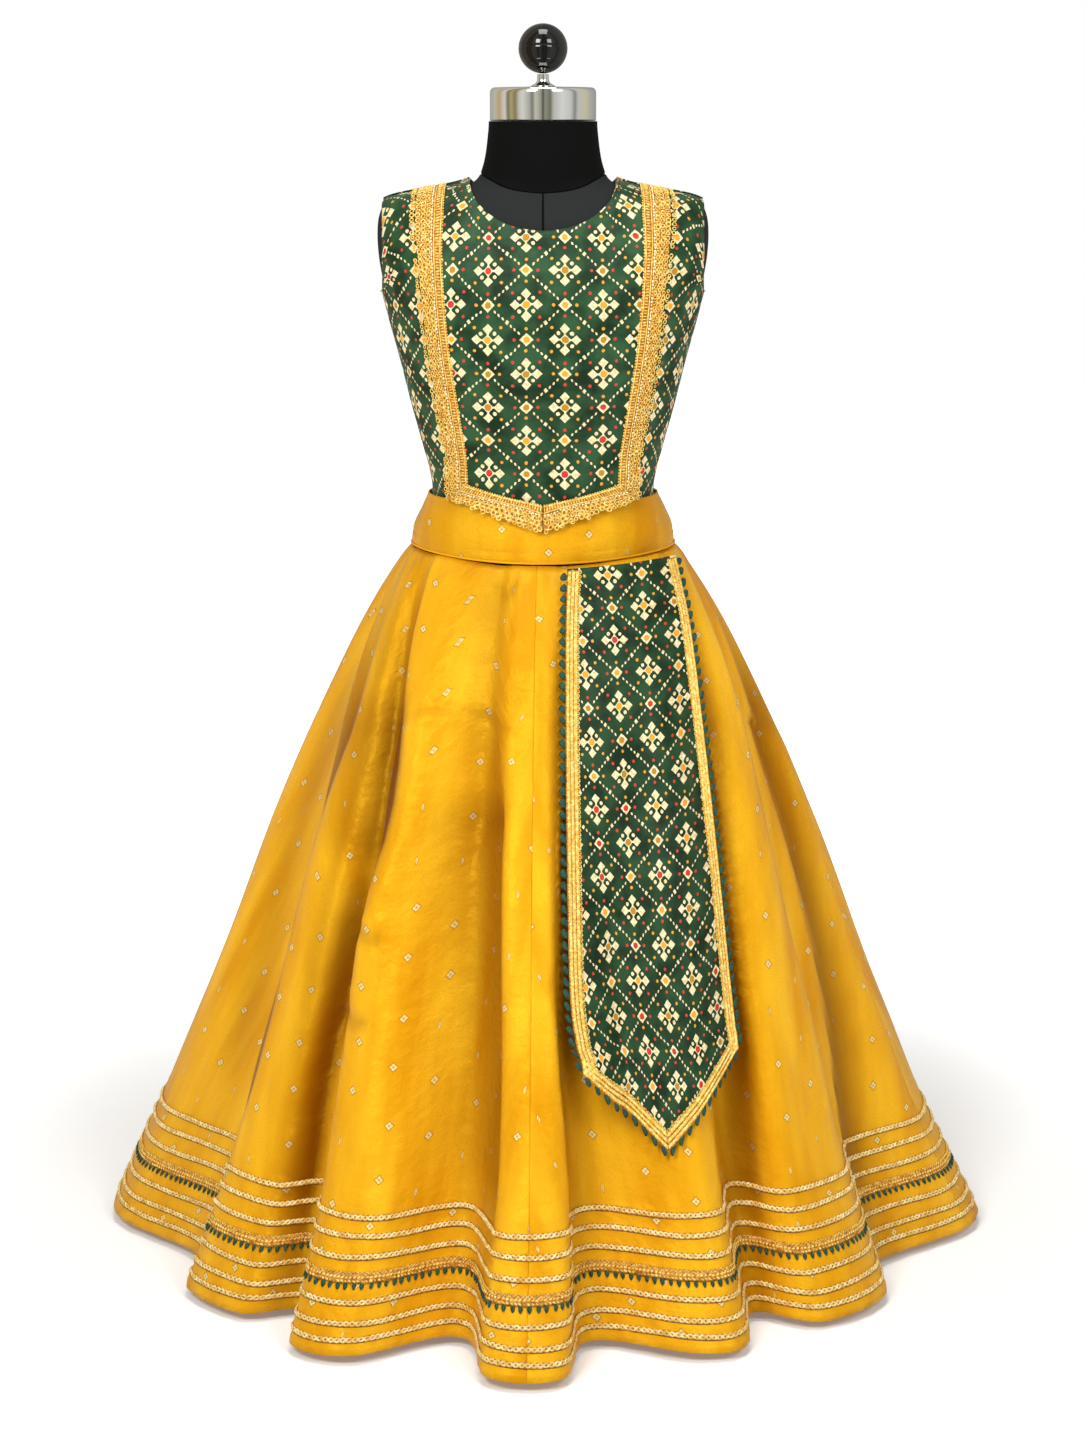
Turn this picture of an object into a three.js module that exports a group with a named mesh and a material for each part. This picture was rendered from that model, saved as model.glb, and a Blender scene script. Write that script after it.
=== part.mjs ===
// Lehenga choli set on a dress form: a sleeveless choli, a flared six gore skirt with a
// waistband, and a sash panel that hangs from the waist seam. Millimetres, +Z up, the front
// faces -Y, +X is the wearer's left, and the origin is on the floor under the form's axis.
import * as THREE from "three";

// ---------------------------------------------------------------- driving dimensions
const seamGap = 0.3;              // between neighbouring pieces
const sectionFullness = 2.2;      // exponent of the form's oval sections: 2 is an ellipse
const cholWall = 1.8;             // lined choli cloth
const cholLift = 1.3;             // choli cloth above the form
const bandWall = 2;               // stiffened waistband
const bandLift = 4.1;              // waistband above the form, over the tucked choli
const flapLift = 6.9;             // pointed front hem above the form, over the waistband
const flapRises = { from: 672, to: 634 };
const laceWall = 1.2;
const laceWidth = 22;             // crochet lace on the choli
const bandTop = 630;
const bandTopDip = 2.5;           // how far the band's top dips at the centre front
const bandBottom = 588;
const frontDip = 8;               // how far the waist seam dips there
const tuckHeight = 614;           // lower edge of the choli inside the waistband
const skirtWall = 2;
const hemHeight = 8;              // hem above the floor
const hemLean = 0.91;             // rise for each millimetre along the cloth near the hem
const flapCorner = { x: 66.5, z: 626 };
const flapTip = 604.5;
const flapLaceEnd = { low: 74.5, high: 62 };      // the hem lace's mitred end, from the axis
const neckHalfWidth = 58.5;
const laceShoulder = 89.5;        // where the princess seam meets the shoulder, from the axis
const shoulderHalfWidth = 128.5;
const neckFront = 846.5;
const neckBack = 868;
const armholeBottom = 797;
const armholeSweep = THREE.MathUtils.degToRad(20);
const armholeBow = 0.85;          // exponent of the armhole's bow: lower is squarer
const shoulderRound = { from: 845, to: 870, lift: 1.3 };   // cloth stands off the ridge
const backRound = { from: 780, to: 830, lift: 1.2 };       // and off the shoulder blades

// The form's sections: half width, and depth in front of and behind its axis.
const formSections = [
  { z: 556, side: 94, front: 73, back: 71 },
  { z: 562, side: 101, front: 79, back: 77 },
  { z: 580, side: 103, front: 82, back: 80 },
  { z: 600, side: 102.6, front: 78, back: 76 },
  { z: 616, side: 95.8, front: 73, back: 70 },
  { z: 632, side: 89.4, front: 69.5, back: 65 },
  { z: 652, side: 92.2, front: 71.5, back: 65.5 },
  { z: 673, side: 97.8, front: 75.5, back: 68.5 },
  { z: 707, side: 107, front: 82.5, back: 75 },
  { z: 740, side: 115, front: 88.5, back: 81 },
  { z: 773, side: 124, front: 91.5, back: 85.5 },
  { z: 790, side: 128.3, front: 91, back: 87 },
  { z: 805, side: 131.6, front: 88.5, back: 87.5 },
  { z: 822, side: 134.6, front: 83.5, back: 86 },
  { z: 838, side: 136, front: 77, back: 82.5 },
  { z: 852, side: 135.6, front: 69.5, back: 77 },
  { z: 861, side: 133.6, front: 62.5, back: 70 },
  { z: 866.5, side: 130.4, front: 57.5, back: 64 },
  { z: 870, side: 123, front: 54.5, back: 60 },
  { z: 872.8, side: 111, front: 52.3, back: 57 },
  { z: 876, side: 93, front: 50.6, back: 54.3 },
  { z: 879.6, side: 74, front: 49.5, back: 52.3 },
  { z: 883.5, side: 60.5, front: 48.8, back: 50.8 },
  { z: 888.5, side: 53.3, front: 48.2, back: 49.6 },
  { z: 897, side: 49.6, front: 47.6, back: 48.4 },
  { z: 908, side: 47, front: 46.6, back: 47 },
  { z: 925, side: 44.9, front: 44.9, back: 44.9 },
  { z: 934, side: 44.3, front: 44.3, back: 44.3 },
];
const formSteps = 36;

// The princess seam, as its distance from the axis at each height.
const princessSeam = [
  { z: 600, x: 62 },
  { z: 626, x: 66.5 },
  { z: 652, x: 70.8 },
  { z: 680, x: 75.6 },
  { z: 713, x: 81 },
  { z: 746, x: 86.5 },
  { z: 778, x: 90.3 },
  { z: 810, x: 92.2 },
  { z: 845, x: 92.4 },
  { z: 890, x: 89 },
];
const tuckedRows = [tuckHeight, 620];
const shoulderRow = 876.6;
const frontRows = [
  626, 636, 652, 673, 697, 722, 747, 771, 793, 813, 831, 846, 858, 866, 871.2, 874.8,
];

// The skirt's flare: 0 at the waist seam and 1 at the hem.
const skirtRings = [
  { z: 588, flare: 0 },
  { z: 574, flare: 0.045 },
  { z: 546, flare: 0.114 },
  { z: 508, flare: 0.196 },
  { z: 460, flare: 0.283 },
  { z: 402, flare: 0.379 },
  { z: 336, flare: 0.482 },
  { z: 262, flare: 0.588 },
  { z: 184, flare: 0.705 },
  { z: 112, flare: 0.812 },
  { z: 58, flare: 0.907 },
  { z: 8, flare: 1 },
];

// One row for each fold, at the hem: the angles of its two shoulders from the centre front,
// their radius, the angle and radius of the valley after it, and the flare at which that
// valley opens.
const skirtFolds = [
  { from: -103, to: -85, radius: 371, valley: -65, floor: 316, opens: 0 },
  { from: -55, to: -43, radius: 353, valley: -37, floor: 316, opens: 0 },
  { from: -31.5, to: -23.2, radius: 375, valley: -12.5, floor: 314, opens: 0.25 },
  { from: -6, to: 2.3, radius: 388, valley: 7, floor: 317, opens: 0.3 },
  { from: 19.5, to: 26, radius: 360, valley: 33, floor: 307, opens: 0.1 },
  { from: 38.5, to: 51, radius: 353, valley: 63, floor: 316, opens: 0 },
  { from: 80, to: 94, radius: 370, valley: 102, floor: 320, opens: 0.1 },
  { from: 109, to: 118, radius: 366, valley: 125.5, floor: 318, opens: 0.2 },
  { from: 132, to: 142, radius: 362, valley: 150, floor: 322, opens: 0 },
  { from: 157, to: 168.5, radius: 372, valley: 176, floor: 320, opens: 0.15 },
  { from: 184, to: 194, radius: 360, valley: 202.5, floor: 318, opens: 0.3 },
  { from: 210, to: 222, radius: 370, valley: 230, floor: 322, opens: 0 },
  { from: 238, to: 246, radius: 364, valley: 251.5, floor: 325, opens: 0.2 },
];
const stepsPerFold = 6;
const skirtSteps = skirtFolds.length * stepsPerFold;
const foldDrift = THREE.MathUtils.degToRad(27);   // how far the folds lean out at the waist
const driftReach = THREE.MathUtils.degToRad(100);

// Gores, from one seam to the next, counted in steps round the skirt.
const goreSeams = [
  { gore: "skirt_gore_front_left", from: 19, to: 36 },
  { gore: "skirt_gore_side_left", from: 36, to: 48 },
  { gore: "skirt_gore_back_left", from: 48, to: 60 },
  { gore: "skirt_gore_back_right", from: 60, to: 72 },
  { gore: "skirt_gore_side_right", from: 72, to: 84 },
  { gore: "skirt_gore_front_right", from: 84, to: 97 },
];

// Trims round the hem, by their height above the hem edge along the cloth.
const hemTrims = [
  { name: "hem_braid_1", above: 12, width: 5, depth: 1.2, finish: "braid" },
  { name: "hem_braid_2", above: 24, width: 5, depth: 1.2, finish: "braid" },
  { name: "hem_braid_3", above: 40, width: 5, depth: 1.2, finish: "braid" },
  { name: "hem_crochet_band", above: 59, width: 9, depth: 1.6, finish: "lace" },
  { name: "hem_braid_4", above: 74, width: 5, depth: 1.2, finish: "braid" },
  { name: "hem_braid_5", above: 90, width: 5, depth: 1.2, finish: "braid" },
  { name: "hem_braid_6", above: 105, width: 5, depth: 1.2, finish: "braid" },
];

// The sash's edges, as distances to the wearer's left of the axis at each height.
const sashEdges = [
  { z: 130, near: 35, far: 162 },
  { z: 212, near: 31, far: 155 },
  { z: 232, near: 26, far: 152.5 },
  { z: 270, near: 21, far: 148.5 },
  { z: 357, near: 19, far: 140 },
  { z: 451, near: 18, far: 130 },
  { z: 526, near: 18, far: 121 },
  { z: 562, near: 19, far: 114 },
  { z: 592, near: 20, far: 107 },
];
const sashWall = 1.4;
const sashLift = 2.7;
const sashSlope = 0.4;            // how steeply it follows a fold's side
const sashReach = 14;             // it also clears the skirt this far above and below
const sashFlares = { hip: 575, above: 0.95, below: 0.5 };   // skirt's widening, by height
const sashTopDrop = 0.4;          // its top edge below the waist seam
const sashCorner = 212;
const sashTip = 150;
const picotPitch = 9.6;           // green picots outside the sash's lace
const picotRoot = { from: 0.5, to: 2 };
const picotLength = 7.5;
const picotWall = 1.2;

// ---------------------------------------------------------------- materials
function finish(color, roughness, metalness = 0) {
  return new THREE.MeshStandardMaterial({ color, roughness, metalness });
}
const finishes = {
  print: finish("#2c5238", 0.62),
  lace: finish("#d9a441", 0.7),
  satin: finish("#f0a810", 0.42),
  braid: finish("#e0b65c", 0.45, 0.3),
  picot: finish("#1f5a48", 0.7),
  jersey: finish("#161617", 0.9),
  chrome: finish("#c8c8c6", 0.12, 1),
  gloss: finish("#0c0c0d", 0.08),
  enamel: finish("#1b1b1c", 0.4),
};

const set = new THREE.Group();

function addPiece(name, geometry, material) {
  const mesh = new THREE.Mesh(geometry, material);
  mesh.name = name;
  set.add(mesh);
}

// ---------------------------------------------------------------- tables and surfaces
function catmullRom(before, start, end, after, share) {
  const square = share * share;
  const cube = square * share;
  return 0.5 * (2 * start + (end - before) * share
    + (2 * before - 5 * start + 4 * end - after) * square
    + (3 * start - before - 3 * end + after) * cube);
}

// A table's row at a fractional index, every column on a smooth curve.
function rowAt(rows, position) {
  const last = rows.length - 1;
  const index = Math.min(Math.max(Math.floor(position), 0), last - 1);
  const share = position - index;
  const row = {};
  for (const column of Object.keys(rows[0])) {
    const start = rows[index][column];
    const end = rows[index + 1][column];
    const before = index > 0 ? rows[index - 1][column] : 2 * start - end;
    const after = index + 2 <= last ? rows[index + 2][column] : 2 * end - start;
    row[column] = catmullRom(before, start, end, after, share);
  }
  return row;
}

// The fractional index at which a steadily changing column reaches a value.
function positionOf(rows, column, value, from = 0, to = rows.length - 1) {
  const rising = rowAt(rows, to)[column] > rowAt(rows, from)[column];
  for (let pass = 0; pass < 40; pass += 1) {
    const middle = (from + to) / 2;
    if ((rowAt(rows, middle)[column] < value) === rising) from = middle;
    else to = middle;
  }
  return (from + to) / 2;
}

function signedPower(value, exponent) {
  return Math.sign(value) * Math.abs(value) ** exponent;
}

// A point of the form: the angle runs from the centre front towards the wearer's left.
function formPoint(angle, position) {
  const row = rowAt(formSections, position);
  const roundness = 2 / sectionFullness;
  const depth = Math.cos(angle) > 0 ? row.front : row.back;
  return new THREE.Vector3(
    row.side * signedPower(Math.sin(angle), roundness),
    -depth * signedPower(Math.cos(angle), roundness),
    row.z,
  );
}

function liftedFormPoint(angle, position, lift) {
  const nudge = 0.02;
  const across = formPoint(angle + nudge, position).sub(formPoint(angle - nudge, position));
  const up = formPoint(angle, position + nudge).sub(formPoint(angle, position - nudge));
  return formPoint(angle, position).addScaledVector(across.cross(up).normalize(), lift);
}

function formHeight(z) {
  return positionOf(formSections, "z", z);
}

// The form's angle at a distance from the axis, on the front of a section.
function angleAcross(x, position) {
  const reach = Math.min(x / rowAt(formSections, position).side, 1);
  return Math.asin(reach ** (sectionFullness / 2));
}

// A closed wall from matching grids of outer and inner points. Each outer cell is split along
// the diagonal that lies deeper, so that what is laid on its edges stays clear of it.
function wallGeometry(outer, inner) {
  const rows = outer.length;
  const columns = outer[0].length;
  const corners = [...outer.flat(), ...inner.flat()];
  const triangles = [];
  const outerIndex = (row, column) => row * columns + column;
  const innerIndex = (row, column) => rows * columns + outerIndex(row, column);
  const quad = (a, b, c, d) => triangles.push(a, b, c, a, c, d);
  const edge = ([row, column], [nextRow, nextColumn]) => quad(
    outerIndex(nextRow, nextColumn), outerIndex(row, column),
    innerIndex(row, column), innerIndex(nextRow, nextColumn),
  );
  for (let row = 0; row < rows - 1; row += 1) {
    for (let column = 0; column < columns - 1; column += 1) {
      const ids = [[row, column], [row, column + 1], [row + 1, column + 1], [row + 1, column]];
      const [a, b, c, d] = ids.map(([r, s]) => outerIndex(r, s));
      const [e, f, g, h] = ids.map(([r, s]) => innerIndex(r, s));
      const rise = corners[b].clone().add(corners[d]).sub(corners[a]).sub(corners[c]);
      if (rise.dot(corners[a].clone().sub(corners[e])) > 0) {
        quad(a, b, c, d);
        quad(e, h, g, f);
      } else {
        quad(b, c, d, a);
        quad(f, e, h, g);
      }
    }
  }
  const [top, end] = [rows - 1, columns - 1];
  for (let column = 0; column < end; column += 1) {
    edge([0, column], [0, column + 1]);
    edge([top, column + 1], [top, column]);
  }
  for (let row = 0; row < top; row += 1) {
    edge([row + 1, 0], [row, 0]);
    edge([row, end], [row + 1, end]);
  }
  return meshGeometry(corners, triangles);
}

function meshGeometry(corners, triangles) {
  const places = new THREE.Float32BufferAttribute(corners.flatMap((p) => p.toArray()), 3);
  const geometry = new THREE.BufferGeometry();
  geometry.setAttribute("position", places);
  geometry.setIndex(triangles);
  return geometry;
}

function grid(rows, columns, point) {
  return Array.from({ length: rows }, (_, row) =>
    Array.from({ length: columns }, (_, column) => point(row, column)));
}

// ---------------------------------------------------------------- dress form
function addForm() {
  const rings = formSections.length;
  const corners = [];
  const triangles = [];
  for (let ring = 0; ring < rings; ring += 1) {
    for (let step = 0; step < formSteps; step += 1) {
      corners.push(formPoint((step / formSteps) * 2 * Math.PI, ring));
    }
  }
  const low = corners.push(new THREE.Vector3(0, 0, formSections[0].z)) - 1;
  const high = corners.push(new THREE.Vector3(0, 0, formSections[rings - 1].z)) - 1;
  for (let step = 0; step < formSteps; step += 1) {
    const next = (step + 1) % formSteps;
    triangles.push(low, next, step);
    triangles.push(high, (rings - 1) * formSteps + step, (rings - 1) * formSteps + next);
    for (let ring = 0; ring < rings - 1; ring += 1) {
      const here = ring * formSteps;
      const above = here + formSteps;
      triangles.push(here + step, here + next, above + next);
      triangles.push(here + step, above + next, above + step);
    }
  }
  addPiece("form_torso", meshGeometry(corners, triangles), finishes.jersey);
}

function turned(profile, steps) {
  const points = profile.map(([radius, height]) => new THREE.Vector2(radius, height));
  return new THREE.LatheGeometry(points, steps).rotateX(Math.PI / 2);
}

function ballProfile(radius, centre, rings) {
  return Array.from({ length: rings + 1 }, (_, ring) => {
    const angle = (ring / rings - 0.5) * Math.PI;
    return [ring % rings === 0 ? 0 : radius * Math.cos(angle), centre + radius * Math.sin(angle)];
  });
}

function addFittings() {
  const torsoTop = formSections[formSections.length - 1].z;
  const torsoBottom = formSections[0].z;
  const capTop = 961;
  const stemTop = 971.8;
  const ball = { radius: 20, centre: 992 };
  const pole = { radius: 12.5, bottom: 18 };
  const base = { radius: 130, edge: 8 };
  const capRadius = 43.4;
  addPiece("form_neck_cap", turned([
    [0, torsoTop + seamGap], [capRadius, torsoTop + seamGap], [capRadius, capTop - 5],
    [capRadius - 1.5, capTop - 1.5], [capRadius - 4.5, capTop], [0, capTop],
  ], 32), finishes.chrome);
  addPiece("form_stem", turned([
    [0, capTop + seamGap], [10, capTop + seamGap], [9, capTop + 1.6], [5.4, capTop + 3.6],
    [4.8, capTop + 6], [4.8, stemTop - seamGap], [0, stemTop - seamGap],
  ], 20), finishes.chrome);
  addPiece("form_ball", turned(ballProfile(ball.radius, ball.centre, 10), 22), finishes.gloss);
  addPiece("form_pole", turned([
    [0, pole.bottom + seamGap], [pole.radius, pole.bottom + seamGap],
    [pole.radius, torsoBottom - seamGap], [0, torsoBottom - seamGap],
  ], 20), finishes.chrome);
  addPiece("form_base", turned([
    [0, 0], [base.radius, 0], [base.radius, base.edge - 2], [base.radius - 2, base.edge],
    [30, pole.bottom - 3], [26, pole.bottom], [0, pole.bottom],
  ], 32), finishes.enamel);
}

// ---------------------------------------------------------------- choli
// Panels are patches between four edges. The lower and upper edges fade out over the rows.
function patchPoint(edges, u, v, fade = 1) {
  const left = edges.left(v);
  const right = edges.right(v);
  const bottom = edges.bottom(u);
  const top = edges.top(u);
  const [lowLeft, lowRight] = [edges.bottom(0), edges.bottom(1)];
  const [highLeft, highRight] = [edges.top(0), edges.top(1)];
  return [0, 1].map((axis) => (1 - u) * left[axis] + u * right[axis]
    + (1 - v) ** fade * (bottom[axis] - (1 - u) * lowLeft[axis] - u * lowRight[axis])
    + v ** fade * (top[axis] - (1 - u) * highLeft[axis] - u * highRight[axis]));
}

const sideAngle = Math.PI / 2;
const ridgeFrom = formHeight(861);

function heightOf(position) {
  return rowAt(formSections, position).z;
}

function ridgeHeight(x) {
  return positionOf(formSections, "side", x, ridgeFrom, formHeight(900));
}

// A point at a distance from the axis on the front, pulled to the ridge where the form ends.
function frontSpot(x, z) {
  const position = Math.min(formHeight(z), ridgeHeight(Math.max(x, 50)));
  return [angleAcross(x, position), position];
}

function princessPoint(row) {
  if (row >= frontRows.length) return [laceShoulder, heightOf(ridgeHeight(laceShoulder))];
  const z = row < 0 ? tuckedRows[row + tuckedRows.length] : frontRows[row];
  return [rowAt(princessSeam, positionOf(princessSeam, "z", z)).x, z];
}

function princessSpot(row) {
  if (row >= frontRows.length) return [sideAngle, ridgeHeight(laceShoulder)];
  return frontSpot(...princessPoint(row));
}

const frontRowCount = frontRows.length + 1;
const frontHeights = [...frontRows, shoulderRow];
const rowShare = (row) => (frontHeights[row] - frontHeights[0])
  / (frontHeights[frontRowCount - 1] - frontHeights[0]);

// Half the angle that parts two panels at a seam, on a section of the form.
function seamAngle(position) {
  const row = rowAt(formSections, position);
  return (0.5 * seamGap) / (0.5 * (row.side + row.front));
}

// The neckline: an oval from its lowest point up to the shoulder's ridge.
function neckPoint(turn, low) {
  const top = heightOf(ridgeHeight(neckHalfWidth));
  return [neckHalfWidth * Math.sin(turn), top - (top - low) * Math.cos(turn)];
}

// Turns of the neckline's oval that lie evenly along it, as measured on the form.
function evenTurns(low, count) {
  const samples = 600;
  const turnAt = (sample) => (sample / samples) * sideAngle;
  const lengths = [0];
  let last = formPoint(...frontSpot(...neckPoint(0, low)));
  for (let sample = 1; sample <= samples; sample += 1) {
    const point = formPoint(...frontSpot(...neckPoint(turnAt(sample), low)));
    lengths.push(lengths[sample - 1] + point.distanceTo(last));
    last = point;
  }
  return Array.from({ length: count + 1 }, (_, part) =>
    turnAt(lengths.findIndex((length) => length >= (part / count) * lengths[samples] - 1e-9)));
}

function shoulderSpot(share, from, to) {
  return [sideAngle, ridgeHeight(from + (to - from) * share)];
}

function shoulderPoint(share) {
  const x = neckHalfWidth + (laceShoulder - neckHalfWidth) * share;
  return [x, heightOf(ridgeHeight(x))];
}

// The side seam and then the armhole's edge, which bows away from the seam's line.
function outerSpot(share, seamShare, sweep) {
  const low = formHeight(tuckHeight);
  const armpit = formHeight(armholeBottom);
  if (share <= seamShare) return [sideAngle, low + (armpit - low) * (share / seamShare)];
  const turn = ((share - seamShare) / (1 - seamShare)) * Math.PI;
  const top = ridgeHeight(shoulderHalfWidth);
  const rise = (1 - Math.cos(turn)) / 2;
  return [sideAngle - sweep * Math.sin(turn) ** armholeBow, armpit + (top - armpit) * rise];
}

function flapRise(position) {
  const below = flapRises.from - heightOf(position);
  const share = THREE.MathUtils.smoothstep(below, 0, flapRises.from - flapRises.to);
  return (flapLift - cholLift) * share;
}

function roundRise(round, position) {
  return round.lift * THREE.MathUtils.smoothstep(heightOf(position), round.from, round.to);
}

function clothGrids(spots, lift, wall) {
  const at = (height) => spots.map((row) => row.map(([angle, position]) =>
    liftedFormPoint(angle, position, height(position) + roundRise(shoulderRound, position))));
  return [at((position) => lift(position) + wall), at(lift)];
}

function addFrontCentre() {
  const halfColumns = 7;
  const neckColumns = 5;
  const turns = evenTurns(neckFront, neckColumns);
  const edges = {
    left: (v) => [0, flapTip + (neckFront - flapTip) * v],
    right: (v) => princessPoint(frontHeights.findIndex((_, row) => rowShare(row) > v - 1e-9)),
    bottom: (u) => [flapCorner.x * u, flapTip + (flapCorner.z - flapTip) * u],
    top: (u) => {
      const column = Math.round(u * halfColumns);
      return column <= neckColumns ? neckPoint(turns[column], neckFront)
        : shoulderPoint((column - neckColumns) / (halfColumns - neckColumns));
    },
  };
  const spots = grid(frontRowCount, 2 * halfColumns + 1, (row, column) => {
    const across = Math.abs(column - halfColumns) / halfColumns;
    const [angle, position] = frontSpot(...patchPoint(edges, across, rowShare(row)));
    const held = Math.min(angle, sideAngle - seamAngle(position));
    const inner = across === 1 ? held - seamAngle(position) : held;
    return [Math.sign(column - halfColumns) * inner, position];
  });
  const [outer, inner] = clothGrids(spots, (position) => cholLift + flapRise(position), cholWall);
  addPiece("choli_front_centre", wallGeometry(outer, inner), finishes.print);
}

function addFrontSide(name, side) {
  const columns = 5;
  const rows = tuckedRows.length + frontRowCount;
  const seamShare = 0.6;
  const rowAbove = (v) => Math.round(v * (rows - 1)) - tuckedRows.length;
  const edges = {
    left: (v) => princessSpot(rowAbove(v)),
    right: (v) => outerSpot(v, seamShare, armholeSweep),
  };
  const spots = grid(rows, columns + 1, (row, column) => {
    const u = column / columns;
    const left = edges.left(row / (rows - 1));
    const right = edges.right(row / (rows - 1));
    const [angle, position] = [0, 1].map((axis) => (1 - u) * left[axis] + u * right[axis]);
    const part = seamAngle(position);
    const held = Math.min(angle, sideAngle - part);
    return [side * (column === 0 ? Math.min(held + part, sideAngle - part) : held), position];
  });
  const ordered = side > 0 ? spots : spots.map((row) => [...row].reverse());
  const [outer, inner] = clothGrids(ordered, () => cholLift, cholWall);
  addPiece(name, wallGeometry(outer, inner), finishes.print);
}

function addBack(name, side) {
  const columns = 8;
  const neckColumns = 4;
  const rows = 18;
  const seamShare = 0.6;
  const topFade = 5;
  const turns = evenTurns(neckBack, neckColumns);
  const edges = {
    left: (v) => outerSpot(v, seamShare, -armholeSweep),
    right: (v) => [Math.PI, formHeight(tuckHeight + (neckBack - tuckHeight) * v)],
    bottom: (u) => [sideAngle * (1 + u), formHeight(tuckHeight)],
    top: (u) => {
      const column = Math.round((1 - u) * columns);
      if (column > neckColumns) {
        const share = (column - neckColumns) / (columns - neckColumns);
        return shoulderSpot(share, neckHalfWidth, shoulderHalfWidth);
      }
      const [angle, position] = frontSpot(...neckPoint(turns[column], neckBack));
      return [Math.PI - angle, position];
    },
  };
  const spots = grid(rows, columns + 1, (row, column) => {
    const [angle, position] = patchPoint(edges, column / columns, row / (rows - 1), topFade);
    const part = seamAngle(position);
    return [side * THREE.MathUtils.clamp(angle, sideAngle + part, Math.PI - part), position];
  });
  const ordered = side > 0 ? spots : spots.map((row) => [...row].reverse());
  const lift = (position) => cholLift + roundRise(backRound, position);
  const [outer, inner] = clothGrids(ordered, lift, cholWall);
  addPiece(name, wallGeometry(outer, inner), finishes.print);
}

// The choli's lace lies on both panels beside the princess seam and rises with the flap.
// Low down it keeps its width round the form, and at the shoulder it keeps it across.
function addPrincessLace(name, side) {
  const columns = 2;
  const shoulderLift = { from: 858, to: 872, lift: 0.8 };
  const spots = grid(frontRowCount, columns + 1, (row, column) => {
    const shift = (column / columns - 0.5) * laceWidth;
    const [angle, position] = princessSpot(row);
    const section = rowAt(formSections, position);
    const along = Math.hypot(section.side * Math.cos(angle), section.front * Math.sin(angle));
    const end = sideAngle - seamAngle(position);
    const ridge = ridgeHeight(laceShoulder + shift);
    if (row === frontRowCount - 1) return [side * end, ridge];
    const [x, z] = princessPoint(row);
    const rise = (heightOf(ridge) - flapCorner.z) / (shoulderRow - flapCorner.z);
    const across = frontSpot(x + shift, flapCorner.z + (z - flapCorner.z) * rise);
    const share = THREE.MathUtils.smoothstep(z, 820, 860);
    const turned = Math.min(angle + shift / along, end) * (1 - share) + across[0] * share;
    return [side * Math.min(turned, end), position * (1 - share) + across[1] * share];
  });
  const ordered = side > 0 ? spots : spots.map((row) => [...row].reverse());
  const lift = (position) => cholLift + flapRise(position) + cholWall + seamGap
    + roundRise(shoulderLift, position);
  const [outer, inner] = clothGrids(ordered, lift, laceWall);
  addPiece(name, wallGeometry(outer, inner), finishes.lace);
}

function addHemLace(name, side) {
  const steps = 6;
  const overhang = 0.4;
  const slope = (flapCorner.z - flapTip) / flapCorner.x;
  const rise = laceWidth * 0.9 * Math.hypot(1, slope);
  const spots = grid(3, steps + 1, (row, column) => {
    const share = row / 2;
    const end = flapLaceEnd.low + (flapLaceEnd.high - flapLaceEnd.low) * share;
    const x = seamGap + (end - seamGap) * (column / steps);
    const z = flapTip + slope * x + share * rise - (1 - share) * overhang;
    const [angle, position] = frontSpot(x, z);
    return [side * angle, position];
  });
  const ordered = side > 0 ? spots : spots.map((row) => [...row].reverse());
  const lift = (position) => cholLift + flapRise(position) + cholWall + 5 * seamGap + laceWall;
  const [outer, inner] = clothGrids(ordered, lift, laceWall);
  addPiece(name, wallGeometry(outer, inner), finishes.lace);
}

// ---------------------------------------------------------------- waistband
function waistSeam(angle) {
  return bandBottom - frontDip * Math.max(Math.cos(angle), 0) ** 2;
}

function addBand(name, from, to) {
  const columns = 22;
  const rows = 3;
  const point = (row, column, lift) => {
    const share = column / columns;
    const angle = from + (to - from) * share;
    const low = waistSeam(angle) + 2 * seamGap;
    const high = bandTop - bandTopDip * Math.max(Math.cos(angle), 0) ** 2;
    const z = low + (high - low) * (row / rows);
    const position = formHeight(z);
    const part = column === 0 ? 1 : column === columns ? -1 : 0;
    return liftedFormPoint(angle + part * seamAngle(position), position, lift);
  };
  const layer = (lift) => grid(rows + 1, columns + 1, (row, column) => point(row, column, lift));
  addPiece(name, wallGeometry(layer(bandLift + bandWall), layer(bandLift)), finishes.satin);
}

function addPiping() {
  const steps = 44;
  const ridge = [
    { out: seamGap, up: -0.9 },
    { out: seamGap, up: 1.9 },
    { out: seamGap + 1.9, up: 0.5 },
  ];
  const rings = ridge.map(({ out, up }) => Array.from({ length: steps }, (_, step) => {
    const angle = (step / steps) * 2 * Math.PI;
    const z = waistSeam(angle) + 1.5 + up;
    return liftedFormPoint(angle, formHeight(z), bandLift + bandWall + out);
  }));
  addPiece("waist_piping", ringGeometry(rings), finishes.satin);
}

// A closed ring with a three cornered section: low edge, high edge and outer ridge.
function ringGeometry([low, high, ridge]) {
  const steps = low.length;
  const corners = [...low, ...ridge, ...high];
  const triangles = [];
  for (let step = 0; step < steps; step += 1) {
    const next = (step + 1) % steps;
    for (let band = 0; band < 3; band += 1) {
      const here = band * steps;
      const above = ((band + 1) % 3) * steps;
      triangles.push(here + step, here + next, above + next);
      triangles.push(here + step, above + next, above + step);
    }
  }
  return meshGeometry(corners, triangles);
}

// ---------------------------------------------------------------- skirt
function drifted(angle, flare) {
  if (Math.abs(angle) > driftReach) return angle;
  return angle + foldDrift * Math.sin(1.8 * angle) * (1 - flare) ** 2.2;
}

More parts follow.
